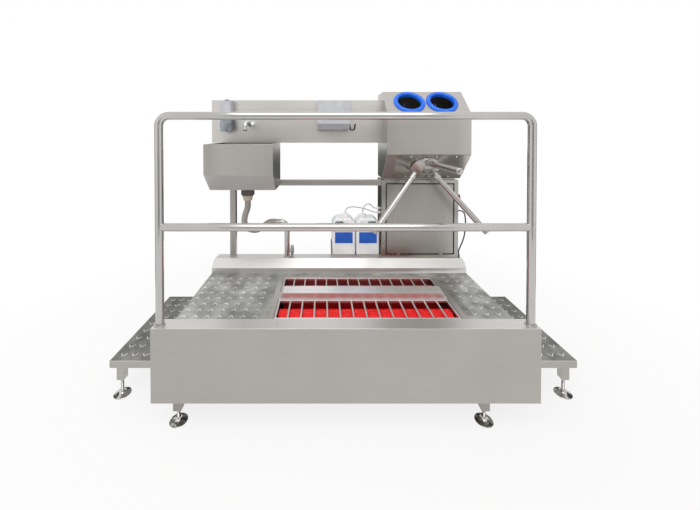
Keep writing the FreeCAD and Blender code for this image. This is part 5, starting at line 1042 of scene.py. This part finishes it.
# %% Cords
def cord(name, finish, radius, points):
    curve = bpy.data.curves.new(name, "CURVE")
    curve.dimensions = "3D"
    curve.bevel_depth = radius * MM
    curve.bevel_resolution = 5
    curve.resolution_u = 10
    curve.use_fill_caps = True
    spline = curve.splines.new("NURBS")
    spline.points.add(len(points) - 1)
    for target, place in zip(spline.points, points):
        target.co = spot(*place).to_4d()
    spline.order_u = 3
    spline.use_endpoint_u = True
    curve.materials.append(finish)
    obj = linked(name + "_run", curve)
    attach(obj, "machine")
    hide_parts(name)


cord("suction_tube_left", tube_plastic, 4.0,
     [(54, 812, 870), (54, 812, 886), (61, 810, 902), (77, 806, 914), (101, 801, 920),
      (134, 796, 919), (172, 793, 913), (210, 791, 903), (240, 791, 891), (263, 792, 882),
      (283, 792, 882)])
cord("suction_tube_right", tube_plastic, 4.0,
     [(182, 812, 870), (182, 812, 886), (184, 812, 903), (192, 813, 920), (205, 814, 932),
      (223, 815, 938), (241, 817, 932), (254, 818, 920), (266, 818, 906), (283, 818, 906)])
cord("motor_cable", black_rubber, 4.5,
     [(858, 750, 904), (873, 750, 904), (889, 750, 898), (901, 750, 884), (906, 749, 862),
      (909, 748, 828), (907, 745, 785), (900, 741, 740), (886, 736, 695), (867, 730, 658),
      (850, 727, 628), (850, 727, 602)])

# %% [markdown]
# ## Floor, world and lamps
# Steel shows what stands round it more than its own colour. The backdrop is plain white, and the
# camera, metal and glass all see it, so each steel renders about as it is written. Other rays get
# a softer level, which lights plastics and rubber without washing them out. The floor is pale,
# keeps the machine's shadow, and fades to white away from it.

# %% World
def seen_directly(tree):
    """1 for rays that look at the backdrop: from the camera, off metal and through glass."""
    ray = add(tree, "ShaderNodeLightPath").outputs
    both = maths(tree, "MAXIMUM", ray["Is Camera Ray"], ray["Is Glossy Ray"])
    return maths(tree, "MAXIMUM", both, ray["Is Transmission Ray"])


scene.view_settings.view_transform = "Standard"
world = bpy.data.worlds.new("white backdrop")
scene.world = world
world.use_nodes = True
tree = world.node_tree
tree.nodes.clear()
backdrop = add(tree, "ShaderNodeMix", {0: seen_directly(tree), 6: linear("d8d6d3"),
                                       7: linear("ffffff")}, data_type="RGBA").outputs[2]
light = add(tree, "ShaderNodeBackground", {"Color": backdrop, "Strength": 1.0})
add(tree, "ShaderNodeOutputWorld", {"Surface": light.outputs[0]})

# %% Floor
floor_finish, tree, shader, place = fresh("pale studio floor", Roughness=0.85)
shader.inputs["Base Color"].default_value = linear("e9e9e9")
away = add(tree, "ShaderNodeVectorMath", {0: place}, operation="LENGTH").outputs["Value"]
fade = add(tree, "ShaderNodeMapRange", {"Value": away, "From Min": 1.2, "From Max": 2.8,
                                        "To Min": 0.82, "To Max": 1.0}).outputs[0]
white = add(tree, "ShaderNodeEmission", {"Color": linear("ffffff"), "Strength": 1.0})
share = maths(tree, "MULTIPLY", fade, seen_directly(tree))
mixed = add(tree, "ShaderNodeMixShader", {0: share, 1: shader.outputs[0], 2: white.outputs[0]})
output = next(n for n in tree.nodes if n.type == "OUTPUT_MATERIAL")
tree.links.new(mixed.outputs[0], output.inputs["Surface"])


def stage_sheet(name, finish, width, height, place):
    bm = bmesh.new()
    bmesh.ops.create_grid(bm, x_segments=1, y_segments=1, size=0.5,
                          matrix=place @ Matrix.Diagonal((width, height, 1.0, 1.0)))
    mesh = mesh_of(name, bm)
    mesh.materials.append(finish)
    obj = linked(name, mesh)
    return obj


stage_sheet("floor", floor_finish, 24.0, 24.0, Matrix.Translation((0, 0, -0.0005)))

# %% [markdown]
# A photographer sets cards round polished metal, out of the picture, to draw its edges and give it
# soft bands. A dark one stands low behind the machine and on each side, and a grey one in front.
# Only reflections show them, so they neither shade the machine nor stand in the picture.

# %% Cards
def felt(name, dark, light):
    finish, tree, shader, place = fresh(name, Roughness=1.0)
    surface(tree, shader, tinted(tree, noise(tree, place, (3.0, 3.0, 3.0), 3.0), dark, light))
    return finish


dark_felt, grey_felt = felt("dark felt", "2e3432", "434a48"), felt("grey felt", "bcbab8", "cac8c6")
facing = Matrix.Rotation(math.pi / 2, 4, "X")
sideways = Matrix.Rotation(math.pi / 2, 4, "Z") @ facing
for name, finish, width, height, at, turn in (
        ("card behind", dark_felt, 6.4, 1.25, (0, 2.6, 0.62), facing),
        ("card left", dark_felt, 0.9, 1.9, (-2.5, 0.3, 0.95), sideways),
        ("card right", dark_felt, 0.9, 1.9, (2.5, 0.3, 0.95), sideways),
        ("card in front", grey_felt, 3.4, 1.7, (0.1, -3.7, 0.86), facing)):
    card = stage_sheet(name, finish, width, height, Matrix.Translation(at) @ turn)
    card.visible_camera = card.visible_diffuse = False
    card.visible_transmission = card.visible_shadow = False


# %% Lamps
def softbox(name, at, aim, size, power, mirrored):
    lamp = bpy.data.lights.new(name, "AREA")
    lamp.shape = "SQUARE"
    lamp.size = size
    lamp.energy = power
    obj = linked(name, lamp)
    obj.location = at
    obj.rotation_euler = (Vector(aim) - Vector(at)).to_track_quat("-Z", "Y").to_euler()
    obj.visible_glossy = mirrored


softbox("key", (-1.6, -2.6, 3.4), (0.0, 0.1, 0.7), 2.2, 50.0, False)
softbox("top", (0.0, -1.9, 3.6), (0.0, 0.0, 0.6), 2.6, 35.0, True)

# %% [markdown]
# ## Camera
# The photo was taken from close by with a very wide lens, a little to the left of the middle. The
# lens is shifted down instead of tipped, which keeps the posts nearly upright.

# %% Camera
PICTURE, FOCAL, SENSOR = 700.0, 324.2, 36.0
camera = linked("camera", bpy.data.cameras.new("camera"))
camera.location = (-0.114, -0.445 - 1.561, 1.451)
camera.rotation_euler = Euler((math.radians(90.0 - 0.72), 0.0, 0.0))
camera.data.sensor_width = SENSOR
camera.data.lens = SENSOR * FOCAL / PICTURE
camera.data.shift_x = 27.6 / PICTURE
camera.data.shift_y = -116.9 / PICTURE
scene.camera = camera

# %% The last line
bpy.context.view_layer.update()
